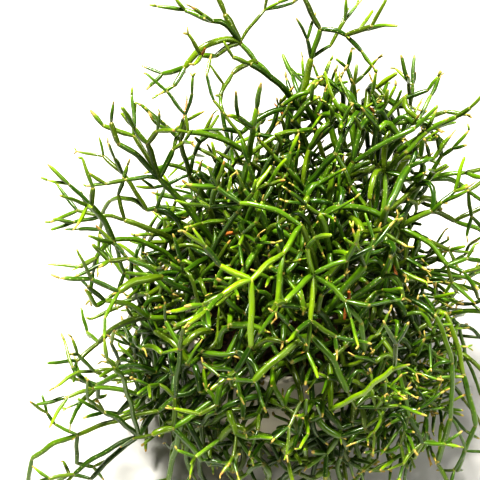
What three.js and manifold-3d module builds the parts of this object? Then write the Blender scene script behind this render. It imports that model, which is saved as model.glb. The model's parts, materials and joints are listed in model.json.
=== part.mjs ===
import * as THREE from "three";
import { mergeVertices } from "three/addons/utils/BufferGeometryUtils.js";
import Module from "manifold-3d";

// A bushy rhipsalis prismatica in a plain round pot. Millimetres, +Z up.
// The origin is the middle of the pot's foot, on the surface that it stands on.
// The stems are jointed: each joint ends in a whorl of shorter ones, arched a little.

// Finishes
const POT_COLOUR = 0xd9d3c4;
const POT_ROUGHNESS = 0.45;
const SOIL_COLOUR = 0x2e241b;
const SOIL_ROUGHNESS = 0.95;
const STEM_ROUGHNESS = 0.42;
const DEEP_GREEN = 0x4f8335;
const YOUNG_GREEN = 0x7fae45;
const GREENS = 5;

// Pot
const POT_HEIGHT = 70;
const POT_RIM_RADIUS = 45;
const POT_FOOT_RADIUS = 31;
const POT_WALL = 2;
const RIM_BAND = 11;
const RIM_STEP = 1.6;
const DRAIN_HOLES = 5;
const DRAIN_HOLE_RADIUS = 3.2;
const DRAIN_RING_RADIUS = 18;
const POT_FACETS = 30;
const FIT_GAP = 0.3;
const FOOT_EDGE = 1.2;
const RIM_EDGE = 0.8;
const BAND_SLOPE = 0.4;
const DRAIN_HOLE_SIDES = 8;

// Soil
const SOIL_TOP = 61;
const SOIL_RISE = 1.6;
const ROOT_HOLE_RADIUS = 2.3;
const ROOT_HOLE_DEPTH = 11;
const ROOT_HOLE_SIDES = 6;
const SOIL_WAVE = 0.6;
const SOIL_WAVE_X = 0.5;
const SOIL_WAVE_Y = 0.4;

// Stems
const MAIN_STEMS = 30;
const ROOTED_RADIUS = 30;
const ROOT_STEM_RADIUS = 1.35;
const COLLAR_RISE = 3;
const ROOT_BOW = 3;
const ROOT_TRIES = 14;
const ROOT_ROOM = 1.5;
const GOLDEN_ANGLE = Math.PI * (3 - Math.sqrt(5));
const CLEAR_OF_OTHERS = 0.45;
const CLEAR_OF_OWN = 0.1;
const CLEAR_OF_FLOOR = 5;
const CLEAR_OF_POT = 1.5;
const JOINT_STRETCH = 0.4;
const WIDE_OPEN = 9;
const SAME_PLACE = 0.01;
const UPRIGHT = 0.9;
const LOOKS_A_SPAN = 4;
const ONE_SPAN = 14;
const TWO_SPANS = 36;
const SLIM_LENGTH = 12;
const SLIM_SIDES = 3;
const FULL_SIDES = 4;
const SLIM_SWELL = 1.35;
const FULL_SWELL = 1.2;
const ROOT_NARROWING = 0.36;
const END_NARROWING = 0.85;
const POINT_LENGTH = 0.65;
const SUNK_ROOT = 0.3;
const LEAST_FACING = 0.58;
const SLIVER = 0.03;
const SHORTEST_EDGE = 0.02;
const CLOSEST_PAIR = 0.64;
const CLOSEST_GROWN = 0.76;
const FARTHEST_BACK = -0.35;
const NEAREST_CARRIERS = 4;
const NEAREST_FOR_SPRAYS = 9;
const LINK_SIDES = [0, 4, -4, 9, -9];
const LINK_BOWS = [0, 8, -4];
const LINK_ROOM = 0.75;
const BETTER = 0.001;

// The crown is filled in three rounds of joints. Each outline runs from the top of the
// crown down its side, as radius and height, and its joints are spread evenly over it.
// The crown leans, so its top is shifted to the right and the back.
const CROWN_CENTRE = [-3, -4];
const CROWN_RADIUS = 60;
const TOP_SHIFT = [18, 8];
const SHIFT_FROM = 96;
const SHIFT_RISE = 55;
const SHARE_SPREAD = 0.04;
const TURN_SPREAD = 0.6;
const ROOT_SHARE_SPREAD = 0.08;
const ROOT_TURN_SPREAD = 0.5;
const ROOT_HEIGHT_SPREAD = 10;
const INNER_OUTLINE = [[0, 101], [14, 99], [25, 93], [33, 84]];
const MIDDLE_OUTLINE = [[0, 131], [20, 127], [36, 113], [46, 97], [53, 82], [56, 64]];
const OUTER_OUTLINE = [[0, 152], [26, 146], [46, 126], [56, 104], [61, 80], [61, 56], [58, 34]];
const SKIRT_OUTLINE = [[50, 92], [58, 80], [61, 62]];
const HANGING_OUTLINE = [[58, 88], [64, 66], [64, 46], [58, 24]];
const MIDDLE_JOINTS = 110;
const OUTER_JOINTS = 262;
const SKIRT_JOINTS = 44;
const HANGING_JOINTS = 130;
const FRONT_JOINTS = 46;
const FRONT_MIDDLE = -1.75;
const FRONT_ARC = 2.3;
const CREST_OUTLINE = [[2, 161], [18, 163], [32, 156], [42, 140]];
const CREST_JOINTS = 46;
const CREST_MIDDLE = 0.9;
const CREST_ARC = 1.9;
const END_TIPS = 410;

// Each stem draws its numbers from a seed of its own: its round's, plus its place in the round.
const ROOT_SEED = 1000;
const MIDDLE_SEED = 2000;
const SKIRT_SEED = 2500;
const OUTER_SEED = 3000;
const HANGING_SEED = 3500;
const TIP_SEED = 4000;
const FRONT_SEED = 5000;
const CREST_SEED = 5700;

// Sprays that stand out of the crown. Each row is a joint: its name, the joint that it grows
// from, its place x, y, z, its thickness, and how far its middle bows up (or down, if negative).
const SPRAYS = {
  tallBack: [
    ["fork", "crown", 6, 34, 154, 2.6, 3],
    ["reach", "fork", -12, 38, 174, 2.2, 1],
    ["top", "reach", -19, 40, 182, 2.2, 0],
    ["lead", "top", -25, 43, 193, 3.2, 0],
    ["curl", "lead", -29, 45, 202, 2.2, 1],
    ["hook", "top", -30, 36, 194, 2.4, 3],
    ["droop", "top", -41, 28, 178, 2.8, 6],
    ["stub", "top", -29, 33, 180, 2.4, 1],
    ["wisp", "top", -9, 47, 193, 1.4, 1],
    ["shoot", "reach", -22, 28, 175, 2.4, 2],
    ["arch", "fork", -15, 27, 180, 2.6, 3],
    ["twin", "fork", 10, 36, 177, 3.0, 0],
    ["budLeft", "twin", 8, 36, 186, 1.8, 0],
    ["budRight", "twin", 18, 41, 180, 1.6, 1],
    ["tall", "twin", 13, 37, 190, 2.4, 0],
    ["tallLeft", "tall", 6, 38, 203, 2.2, 0],
    ["tallRight", "tall", 23, 34, 189, 2.2, 1],
    ["low", "fork", -18, 24, 149, 2.6, 4],
  ],
  upperLeft: [
    ["knee", "crown", -19, 2, 135, 2.6, 2],
    ["fork", "knee", -15, 4, 152, 2.6, 1],
    ["arm", "fork", -39, 0, 166, 2.4, 3],
    ["armEnd", "arm", -46, -1, 168, 1.5, 0],
    ["armBud", "arm", -40, 3, 172, 1.5, 0],
    ["wisp", "fork", -29, 8, 175, 1.4, 2],
    ["upright", "fork", -14, -2, 170, 2.6, 0],
    ["right", "fork", 4, 12, 158, 2.2, 3],
  ],
  farLeft: [
    ["fork", "crown", -51, -6, 148, 2.8, 2],
    ["long", "fork", -65, -9, 167, 2.4, 2],
    ["high", "fork", -60, -1, 165, 2.2, 1],
    ["near", "fork", -54, -10, 168, 2.4, 1],
    ["short", "fork", -45, -3, 160, 2.4, 0],
    ["side", "fork", -63, -13, 153, 1.8, 1],
  ],
  leftInner: [
    ["fork", "crown", -40, 10, 137, 2.4, 3],
    ["lead", "fork", -43, 10, 155, 2.2, 0],
    ["twig", "fork", -38, 14, 145, 1.8, 0],
    ["side", "fork", -50, 7, 134, 1.6, 1],
  ],
  left: [
    ["fork", "crown", -69, -22, 130, 2.2, 4],
    ["upright", "fork", -75, -26, 151, 2.6, 2],
    ["low", "fork", -76, -26, 124, 2.2, 1],
    ["drop", "fork", -66, -23, 113, 1.8, -1],
  ],
  leftHigh: [
    ["fork", "crown", -66, -8, 128, 2.6, 4],
    ["out", "fork", -75, -10, 132, 1.8, 1],
    ["up", "fork", -68, -5, 139, 1.8, 0],
  ],
  leftFat: [
    ["fork", "crown", -50, -34, 121, 2.6, 3],
    ["fat", "fork", -65, -46, 125, 3.2, 2],
    ["slim", "fork", -62, -35, 132, 2.0, 1],
  ],
  leftPair: [
    ["fork", "crown", -56, -34, 98, 2.6, 3],
    ["up", "fork", -72, -40, 114, 2.2, 3],
    ["down", "fork", -78, -34, 83, 2.6, 4],
  ],
  lowLeft: [
    ["fork", "crown", -54, -46, 78, 2.6, 5],
    ["reach", "fork", -69, -53, 88, 2.4, 3],
    ["tipOut", "reach", -77, -55, 89, 1.6, 1],
    ["tipUp", "reach", -67, -54, 95, 1.6, 0],
    ["sag", "fork", -79, -45, 68, 2.4, 4],
  ],
  longLeft: [
    ["knee", "crown", -53, -52, 60, 2.6, 5],
    ["joint", "knee", -87, -60, 54, 2.2, 2],
    ["bud", "joint", -96, -59, 60, 1.6, 0],
    ["drop", "joint", -108, -62, 40, 2.4, 2],
    ["end", "drop", -112, -64, 21, 2.2, 2],
    ["side", "joint", -89, -63, 38, 2.0, 1],
  ],
  hangLeft: [
    ["knee", "crown", -42, -60, 66, 2.6, 6],
    ["drop", "knee", -50, -65, 29, 2.6, 1],
    ["side", "knee", -32, -68, 44, 2.4, 2],
  ],
  frontLeft: [
    ["fork", "crown", 4, -32, 146, 2.8, 3],
    ["back", "fork", -19, -26, 152, 2.6, 3],
    ["joint", "fork", -3, -46, 145, 2.6, 1],
    ["star", "joint", -15, -59, 144, 2.6, 1],
    ["starFar", "star", -26, -59, 151, 2.8, 0],
    ["starLow", "star", -25, -66, 144, 2.4, 1],
    ["starDrop", "star", -15, -67, 118, 2.8, 2],
    ["fall", "joint", -6, -60, 129, 2.4, 2],
  ],
  frontStar: [
    ["fork", "crown", 8, -48, 136, 2.8, 3],
    ["up", "fork", 5, -50, 151, 2.2, 0],
    ["right", "fork", 20, -47, 142, 2.4, 1],
    ["rightLow", "fork", 20, -54, 128, 2.4, 1],
    ["down", "fork", 7, -60, 124, 2.4, 1],
    ["left", "fork", -3, -64, 138, 2.6, 1],
  ],
  longRight: [
    ["knee", "crown", 20, -14, 140, 2.8, 3],
    ["elbow", "knee", 45, -12, 127, 2.8, 4],
    ["up", "elbow", 57, -14, 138, 2.4, 1],
    ["out", "elbow", 65, -22, 116, 2.2, 4],
    ["down", "elbow", 40, -27, 116, 2.4, 2],
  ],
  frontArch: [
    ["fork", "crown", 8, -57, 112, 2.8, 4],
    ["left", "fork", -14, -74, 106, 3.0, 3],
    ["leftBud", "left", -21, -77, 111, 1.8, 0],
    ["right", "fork", 23, -64, 88, 3.0, 4],
    ["rightBud", "right", 27, -65, 79, 1.8, 0],
  ],
  brightFront: [
    ["knee", "crown", 17, -65, 78, 2.4, 5],
    ["lead", "knee", 36, -79, 120, 2.2, -3],
  ],
  backRight: [
    ["fork", "crown", 28, 44, 137, 2.6, 4],
    ["arch", "fork", 46, 53, 147, 2.6, 5],
    ["drop", "fork", 49, 46, 130, 2.4, 4],
    ["up", "fork", 30, 51, 155, 2.0, 1],
  ],
  backArch: [
    ["fork", "crown", 28, 34, 146, 2.4, 4],
    ["arch", "fork", 45, 38, 149, 2.4, 4],
    ["down", "arch", 50, 34, 132, 2.2, 1],
    ["up", "fork", 30, 36, 155, 2.0, 1],
  ],
  backMid: [
    ["fork", "crown", 10, 22, 141, 2.6, 2],
    ["left", "fork", -1, 16, 142, 2.8, 1],
    ["leftUp", "fork", -1, 18, 149, 2.6, 0],
    ["up", "fork", 6, 24, 151, 2.6, 0],
    ["right", "fork", 20, 26, 152, 2.6, 1],
    ["twig", "fork", 15, 22, 150, 2.0, 0],
  ],
  rightUpright: [
    ["fork", "crown", 40, 22, 132, 2.6, 3],
    ["up", "fork", 38, 20, 154, 3.0, 0],
    ["tip", "up", 38, 20, 160, 1.6, 0],
    ["slim", "up", 48, 24, 166, 2.0, 1],
    ["out", "up", 54, 22, 156, 2.2, 1],
    ["side", "fork", 46, 24, 145, 2.2, 1],
  ],
  right: [
    ["fork", "crown", 47, 19, 142, 2.6, 4],
    ["long", "fork", 67, 12, 165, 2.6, 2],
    ["side", "fork", 52, 30, 158, 2.2, 1],
  ],
  rightWhorl: [
    ["fork", "crown", 57, 2, 141, 2.4, 5],
    ["out", "fork", 71, -1, 147, 2.0, 1],
    ["up", "fork", 62, 5, 151, 1.8, 0],
    ["sag", "fork", 76, 6, 132, 2.2, 3],
  ],
  farRight: [
    ["fork", "crown", 62, 15, 113, 2.4, 4],
    ["joint", "fork", 76, 17, 106, 2.4, 2],
    ["up", "joint", 90, 19, 113, 2.2, 1],
    ["down", "joint", 92, 14, 100, 2.2, 1],
  ],
  thinRight: [
    ["knee", "crown", 56, 0, 92, 2.2, 4],
    ["joint", "knee", 80, -5, 92, 1.8, 2],
    ["up", "joint", 89, -5, 101, 2.0, 0],
    ["down", "joint", 88, -1, 76, 1.8, 2],
  ],
  hangRight: [
    ["knee", "crown", 58, -42, 108, 2.4, 5],
    ["upper", "knee", 66, -51, 90, 2.2, 2],
    ["lower", "upper", 68, -59, 64, 2.2, 1],
    ["end", "lower", 66, -62, 36, 2.6, 1],
    ["wisp", "lower", 77, -61, 44, 1.4, 3],
  ],
  hangOuter: [
    ["knee", "crown", 66, -30, 96, 2.4, 5],
    ["upper", "knee", 75, -42, 72, 2.2, 3],
    ["lower", "upper", 82, -52, 50, 2.6, 1],
    ["end", "lower", 77, -58, 25, 2.2, 2],
  ],
  lowRight: [
    ["knee", "crown", 42, -54, 96, 2.4, 5],
    ["drop", "knee", 49, -64, 72, 2.0, 2],
    ["endOut", "drop", 56, -67, 58, 1.8, 1],
    ["endIn", "drop", 47, -67, 57, 1.8, 0],
  ],
  backDroop: [
    ["fork", "crown", -24, 62, 112, 2.6, 6],
    ["out", "fork", -34, 84, 106, 2.4, 4],
    ["down", "fork", -20, 80, 90, 2.4, 4],
    ["up", "fork", -28, 72, 131, 2.2, 1],
    ["end", "out", -42, 90, 88, 2.0, 3],
  ],
  backLow: [
    ["knee", "crown", 16, 66, 84, 2.6, 7],
    ["upper", "knee", 22, 82, 66, 2.4, 3],
    ["end", "upper", 20, 86, 38, 2.4, 2],
    ["side", "upper", 36, 88, 58, 2.0, 2],
  ],
  backSide: [
    ["fork", "crown", 50, 52, 98, 2.6, 6],
    ["out", "fork", 66, 66, 88, 2.4, 4],
    ["up", "fork", 60, 58, 116, 2.2, 1],
    ["end", "out", 72, 72, 66, 2.2, 3],
  ],
  backLeft: [
    ["fork", "crown", -62, 34, 98, 2.6, 6],
    ["out", "fork", -80, 46, 94, 2.4, 4],
    ["up", "fork", -72, 38, 116, 2.2, 1],
    ["end", "out", -88, 50, 72, 2.2, 4],
  ],
  trailLeft: [
    ["fork", "crown", -62, -57, 49, 2.6, 5],
    ["left", "fork", -74, -62, 72, 2.4, 2],
    ["tip", "left", -77, -62, 77, 1.6, 0],
    ["long", "fork", -64, -65, 98, 2.0, 0],
    ["down", "fork", -83, -66, 31, 2.4, 2],
    ["far", "fork", -89, -69, 39, 2.2, 3],
  ],
  trailMid: [
    ["fork", "crown", -46, -67, 68, 2.6, 6],
    ["up", "fork", -45, -61, 80, 2.2, 0],
    ["tall", "up", -42, -57, 105, 2.2, 0],
    ["twig", "up", -51, -60, 87, 1.8, 1],
    ["down", "fork", -35, -70, 50, 2.4, 2],
    ["end", "down", -26, -72, 51, 1.8, 1],
    ["stub", "fork", -54, -70, 68, 3.0, 1],
  ],
  trailHigh: [
    ["fork", "crown", -60, -52, 70, 2.4, 4],
    ["far", "fork", -78, -57, 81, 2.2, 2],
    ["up", "fork", -63, -50, 83, 1.8, 0],
    ["low", "fork", -70, -55, 62, 2.0, 2],
  ],
  rustRight: [
    ["knee", "crown", 44, -14, 105, 1.8, 3],
    ["lead", "knee", 75, -18, 105, 1.4, 1],
  ],
  rightFan: [
    ["fork", "crown", 70, -6, 68, 2.6, 5],
    ["out", "fork", 89, -6, 72, 2.4, 2],
    ["arch", "fork", 68, -12, 60, 2.0, 1],
    ["archEnd", "arch", 57, -20, 53, 1.8, 3],
  ],
  netHigh: [
    ["fork", "crown", 66, 6, 80, 2.2, 4],
    ["out", "fork", 87, 2, 78, 1.8, 1],
    ["up", "fork", 81, 8, 94, 1.6, 1],
    ["low", "fork", 79, -2, 73, 1.8, 2],
  ],
  netMid: [
    ["fork", "crown", 65, -24, 65, 2.2, 6],
    ["side", "fork", 75, -28, 70, 2.0, 1],
    ["far", "side", 85, -34, 65, 2.0, 2],
    ["drop", "fork", 72, -31, 55, 1.8, 1],
    ["dropLeft", "drop", 69, -38, 47, 1.6, 0],
    ["dropRight", "drop", 80, -37, 48, 1.8, 1],
    ["end", "dropRight", 87, -42, 40, 1.6, 1],
  ],
  netLow: [
    ["fork", "crown", 58, -36, 61, 2.0, 5],
    ["drop", "fork", 64, -42, 53, 1.8, 1],
    ["out", "drop", 72, -45, 49, 1.6, 1],
    ["down", "drop", 61, -49, 44, 1.6, 0],
    ["left", "fork", 52, -42, 53, 1.8, 1],
  ],
  netFar: [
    ["fork", "crown", 78, -14, 72, 2.2, 6],
    ["out", "fork", 91, -12, 60, 1.8, 2],
    ["drop", "fork", 83, -18, 54, 1.8, 1],
    ["end", "drop", 90, -28, 41, 1.6, 2],
    ["left", "drop", 77, -22, 47, 1.6, 0],
  ],
};

// One solid in closed form, with its corners shared.
function solidFrom(geometry) {
  const bare = geometry.clone();
  bare.deleteAttribute("normal");
  bare.deleteAttribute("uv");
  const merged = mergeVertices(bare, 1e-4);
  return new wasm.Manifold(new wasm.Mesh({
    numProp: 3,
    vertProperties: new Float32Array(merged.attributes.position.array),
    triVerts: new Uint32Array(merged.index.array),
  }));
}

function geometryFrom(solid) {
  const mesh = solid.getMesh();
  const geometry = new THREE.BufferGeometry();
  geometry.setAttribute("position", new THREE.BufferAttribute(new Float32Array(mesh.vertProperties), 3));
  geometry.setIndex(new THREE.BufferAttribute(new Uint32Array(mesh.triVerts), 1));
  geometry.computeVertexNormals();
  return geometry;
}

// A repeatable stream of draws between 0 and 1.
function makeDraw(seed) {
  let state = seed >>> 0;
  return () => {
    state = (state + 0x6d2b79f5) >>> 0;
    let mixed = Math.imul(state ^ (state >>> 15), 1 | state);
    mixed = (mixed + Math.imul(mixed ^ (mixed >>> 7), 61 | mixed)) ^ mixed;
    return ((mixed ^ (mixed >>> 14)) >>> 0) / 4294967296;
  };
}

const plus = (a, b) => [a[0] + b[0], a[1] + b[1], a[2] + b[2]];
const minus = (a, b) => [a[0] - b[0], a[1] - b[1], a[2] - b[2]];
const times = (a, s) => [a[0] * s, a[1] * s, a[2] * s];
const dot = (a, b) => a[0] * b[0] + a[1] * b[1] + a[2] * b[2];
const size = (a) => Math.sqrt(dot(a, a));
const unit = (a) => times(a, 1 / size(a));
const apart = (a, b) => size(minus(a, b));
const cross = (a, b) => [a[1] * b[2] - a[2] * b[1], a[2] * b[0] - a[0] * b[2], a[0] * b[1] - a[1] * b[0]];
const between = (low, high, share) => low + (high - low) * share;
const clamp01 = (value) => Math.min(1, Math.max(0, value));

// The least distance between the straight spans a-b and c-d.
function spanDistance(a, b, c, d) {
  const u = minus(b, a);
  const v = minus(d, c);
  const w = minus(a, c);
  const uu = dot(u, u);
  const vv = dot(v, v);
  const uv = dot(u, v);
  const uw = dot(u, w);
  const vw = dot(v, w);
  const den = uu * vv - uv * uv;
  let s = den > 1e-9 ? clamp01((uv * vw - uw * vv) / den) : 0;
  const t = clamp01((uv * s + vw) / vv);
  s = clamp01((uv * t - uw) / uu);
  return size(minus(plus(a, times(u, s)), plus(c, times(v, t))));
}

// The points of an arched stem from one joint to the next.
function archedPoints(start, end, bow, side, spans) {
  const along = minus(end, start);
  const across = cross(along, [0, 0, 1]);
  const sideways = times(across, side / Math.max(size(across), 1));
  const middle = plus(plus(times(plus(start, end), 0.5), sideways), [0, 0, bow * 2]);
  const points = [];
  for (let i = 0; i <= spans; i += 1) {
    const t = i / spans;
    const first = times(start, (1 - t) * (1 - t));
    const second = times(middle, 2 * t * (1 - t));
    points.push(plus(plus(first, second), times(end, t * t)));
  }
  return points;
}

function spansFor(length) {
  if (length < ONE_SPAN) return 1;
  return length < TWO_SPANS ? 2 : 3;
}

// The plant is a list of stems. Each one knows its joint points, its thickness, what it grows
// from and which rooted plant it belongs to.
const stems = [];

function addStem(parent, rooted, points, radius, sides) {
  const swell = sides === SLIM_SIDES ? SLIM_SWELL : FULL_SWELL;
  const start = points[0];
  const end = points[points.length - 1];
  const made = { index: stems.length, parent, rooted, points, radius, sides, reach: radius * swell };
  made.start = start;
  made.end = end;
  made.heading = unit(minus(end, points[points.length - 2]));
  made.leaving = unit(minus(points[1], start));
  made.children = [];
  stems.push(made);
  if (parent >= 0) stems[parent].children.push(made.index);
  return made;
}

// A stem without the stretch next to its first or its last joint, where its neighbours meet it.
function cutBack(points, atStart) {
  const cut = [...points];
  const last = points.length - 1;
  if (atStart) cut[0] = plus(times(points[0], 1 - JOINT_STRETCH), times(points[1], JOINT_STRETCH));
  else cut[last] = plus(times(points[last], 1 - JOINT_STRETCH), times(points[last - 1], JOINT_STRETCH));
  return cut;
}

// The least gap between two stems, short of what the first one needs.
function gapBetween(points, others, room, least) {
  let found = least;
  for (let i = 0; i + 1 < points.length; i += 1) {
    const middle = times(plus(points[i], points[i + 1]), 0.5);
    const half = apart(points[i], points[i + 1]) / 2;
    for (let j = 0; j + 1 < others.length; j += 1) {
      const far = times(plus(others[j], others[j + 1]), 0.5);
      const otherHalf = apart(others[j], others[j + 1]) / 2;
      if (apart(middle, far) - half - otherHalf - room > found) continue;
      found = Math.min(found, spanDistance(points[i], points[i + 1], others[j], others[j + 1]) - room);
    }
  }
  return found;
}

// How clear a stem would stand of all the others: those of its own plant may nearly touch,
// and its own whorl and the stem that carries it are only met at the joint.
function clearance(points, reach, parent, rooted) {
  const free = cutBack(points, true);
  let least = WIDE_OPEN;
  for (const other of stems) {
    const carries = other.index === parent;
    const beside = parent >= 0 && other.parent === parent;
    const slack = other.rooted === rooted ? CLEAR_OF_OTHERS - CLEAR_OF_OWN : 0;
    const room = reach + other.reach - slack;
    if (carries) least = gapBetween(free, cutBack(other.points, false), room, least);
    else if (beside) least = gapBetween(free, cutBack(other.points, true), room, least);
    else least = gapBetween(points, other.points, room, least);
  }
  return least;
}

// A stem stays above the surface, above the soil and outside the pot.
function staysOut(points, reach) {
  for (let i = 0; i + 1 < points.length; i += 1) {
    for (let k = 0; k <= LOOKS_A_SPAN; k += 1) {
      const [x, y, z] = plus(points[i], times(minus(points[i + 1], points[i]), k / LOOKS_A_SPAN));
      const room = CLEAR_OF_POT + reach;
      if (z - reach < CLEAR_OF_FLOOR) return false;
      if (z < POT_HEIGHT + room && Math.hypot(x, y) < POT_RIM_RADIUS + room) return false;
    }
  }
  return true;
}

// Stems of one whorl spread apart, and none doubles back along the one that they grow from.
function spreads(parent, leaving) {
  if (dot(leaving, stems[parent].heading) < FARTHEST_BACK) return false;
  return stems[parent].children.every((child) => dot(stems[child].leaving, leaving) < CLOSEST_GROWN);
}

// A point on an outline turned round the crown, at a share of its area counted from the top.
function crownPoint(outline, share, angle) {
  const areas = outline.slice(1).map(([radius, height], i) => {
    const [lastRadius, lastHeight] = outline[i];
    return (radius + lastRadius) * Math.hypot(radius - lastRadius, height - lastHeight);
  });
  let left = share * areas.reduce((sum, area) => sum + area, 0);
  let i = 0;
  while (i < areas.length - 1 && left > areas[i]) {
    left -= areas[i];
    i += 1;
  }
  const along = clamp01(left / areas[i]);
  const radius = between(outline[i][0], outline[i + 1][0], along);
  const height = between(outline[i][1], outline[i + 1][1], along);
  const leanIn = radius / CROWN_RADIUS;
  const shifted = Math.max(0, height - SHIFT_FROM) / SHIFT_RISE;
  return [
    CROWN_CENTRE[0] * leanIn + TOP_SHIFT[0] * shifted + radius * Math.cos(angle),
    CROWN_CENTRE[1] * leanIn + TOP_SHIFT[1] * shifted + radius * Math.sin(angle),
    height,
  ];
}

// The sprays are laid first, so that the crown grows round them.
function laySprays() {
  const loose = [];
  Object.values(SPRAYS).forEach((rows, number) => {
    const joints = {};
    let root = null;
    for (const [name, from, x, y, z, thickness, bow] of rows) {
      joints[name] = { place: [x, y, z], thickness };
      if (from === "crown") {
        root = { name, bow };
        continue;
      }
      const start = joints[from].place;
      const length = apart(start, [x, y, z]);
      const sides = length < SLIM_LENGTH ? SLIM_SIDES : FULL_SIDES;
      const points = archedPoints(start, [x, y, z], bow, 0, spansFor(length));
      const parent = joints[from].index === undefined ? -1 : joints[from].index;
      joints[name].index = addStem(parent, -1 - number, points, thickness / 2, sides).index;
    }
    loose.push({ number, joints, root });
  });
  return loose;
}

function rootPlace(number) {
  const share = (number + 0.5) / MAIN_STEMS;
  const angle = number * GOLDEN_ANGLE;
  const radius = ROOTED_RADIUS * Math.sqrt(share);
  return [radius * Math.cos(angle), radius * Math.sin(angle)];
}

// Rooted stems stand upright in the soil and lean out to the first round of joints.
function growRootedStems() {
  for (let number = 0; number < MAIN_STEMS; number += 1) {
    const [x, y] = rootPlace(number);
    const bottom = [x, y, SOIL_TOP - ROOT_HOLE_DEPTH + FIT_GAP];
    const collar = [x, y, SOIL_TOP + COLLAR_RISE];
    const draw = makeDraw(ROOT_SEED + number);
    let best = null;
    for (let attempt = 0; attempt < ROOT_TRIES; attempt += 1) {
      const share = clamp01((number + 0.5) / MAIN_STEMS + (draw() - 0.5) * ROOT_SHARE_SPREAD);
      const angle = number * GOLDEN_ANGLE + (draw() - 0.5) * ROOT_TURN_SPREAD;
      const place = crownPoint(INNER_OUTLINE, share, angle);
      place[2] += (draw() - 0.5) * ROOT_HEIGHT_SPREAD;
      const [first, middle, last] = archedPoints(collar, place, ROOT_BOW * (1 + draw()), 0, 2);
      const points = [bottom, first, middle, last];
      const clear = clearance(points, ROOT_STEM_RADIUS * FULL_SWELL, -1, number);
      if (!best || clear > best.clear) best = { clear, points };
      if (clear > ROOT_ROOM) break;
    }
    addStem(-1, number, best.points, ROOT_STEM_RADIUS, FULL_SIDES);
  }
}

// Each spray is carried by the nearest joint in the crown that it can reach in the clear.
function joinSprays(loose, joints) {
  for (const spray of loose) {
    const target = spray.joints[spray.root.name];
    const near = [...joints].sort((a, b) => apart(a.end, target.place) - apart(b.end, target.place));
    const radius = target.thickness / 2;
    let best = null;
    for (const carrier of near.slice(0, NEAREST_FOR_SPRAYS)) {
      for (const side of LINK_SIDES) {
        for (const bow of [spray.root.bow, ...LINK_BOWS]) {
          const length = apart(carrier.end, target.place);
          const points = archedPoints(carrier.end, target.place, bow, side, spansFor(length) + 1);
          if (!spreads(carrier.index, unit(minus(points[1], points[0])))) continue;
          if (!staysOut(points, radius * FULL_SWELL)) continue;
          const clear = clearanceOfSpray(points, radius * FULL_SWELL, carrier, spray);
          if (!best || clear > best.clear + BETTER) best = { clear, points, carrier };
        }
      }
      if (best && best.clear > LINK_ROOM) break;
    }
    if (!best) throw new Error("a spray finds no joint to grow from");
    const link = addStem(best.carrier.index, best.carrier.rooted, best.points, radius, FULL_SIDES);
    for (const made of stems) {
      if (made.rooted !== -1 - spray.number) continue;
      made.rooted = link.rooted;
      if (made.parent >= 0) continue;
      made.parent = link.index;
      link.children.push(made.index);
    }
  }
}

// A spray's own first stems are met only at the joint that they share with their carrier.
function clearanceOfSpray(points, reach, carrier, spray) {
  const first = spray.joints[spray.root.name].place;
  const free = cutBack(cutBack(points, true), false);
  let least = WIDE_OPEN;
  for (const other of stems) {
    const carries = other.index === carrier.index;
    const beside = other.parent === carrier.index || apart(other.start, first) < SAME_PLACE;
    const slack = other.rooted === carrier.rooted ? CLEAR_OF_OTHERS - CLEAR_OF_OWN : 0;
    const room = reach + other.reach - slack;
    if (carries) least = gapBetween(free, cutBack(other.points, false), room, least);
    else if (beside) least = gapBetween(free, cutBack(other.points, true), room, least);
    else least = gapBetween(points, other.points, room, least);
  }
  return least;
}

// One round of joints: each point of the outline is reached from the nearest joint before it.
function growRound(carriers, outline, count, seed, rule) {
  const grown = [];
  for (let number = 0; number < count; number += 1) {
    const draw = makeDraw(seed + number);
    for (let attempt = 0; attempt < rule.attempts; attempt += 1) {
      const share = clamp01((number + 0.5) / count + (draw() - 0.5) * SHARE_SPREAD);
      const around = number * GOLDEN_ANGLE + (draw() - 0.5) * TURN_SPREAD;
      const angle = rule.arc ? rule.middle + (draw() - 0.5) * rule.arc : around;
      const place = crownPoint(outline, share, angle);
      const jitter = [draw() - 0.5, draw() - 0.5, draw() - 0.5];
      const end = plus(place, times(jitter, rule.jitter));
      const radius = between(rule.thin, rule.thick, draw()) / 2;
      const bow = between(rule.bowLow, rule.bowHigh, draw());
      const side = (draw() - 0.5) * rule.side;
      const reach = radius * (rule.sides === SLIM_SIDES ? SLIM_SWELL : FULL_SWELL);
      const near = [...carriers].sort((a, b) => apart(a.end, end) - apart(b.end, end));
      const open = near.slice(0, NEAREST_CARRIERS).find((carrier) => {
        const length = apart(carrier.end, end);
        if (length < rule.shortest || length > rule.longest) return false;
        if (carrier.children.length >= rule.whorl) return false;
        const points = archedPoints(carrier.end, end, bow, side, spansFor(length));
        if (!spreads(carrier.index, unit(minus(points[1], points[0])))) return false;
        if (!staysOut(points, reach)) return false;
        return clearance(points, reach, carrier.index, carrier.rooted) > CLEAR_OF_OTHERS;
      });
      if (!open) continue;
      const points = archedPoints(open.end, end, bow, side, spansFor(apart(open.end, end)));
      grown.push(addStem(open.index, open.rooted, points, radius, rule.sides));
      break;
    }
  }
  return grown;
}

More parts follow.
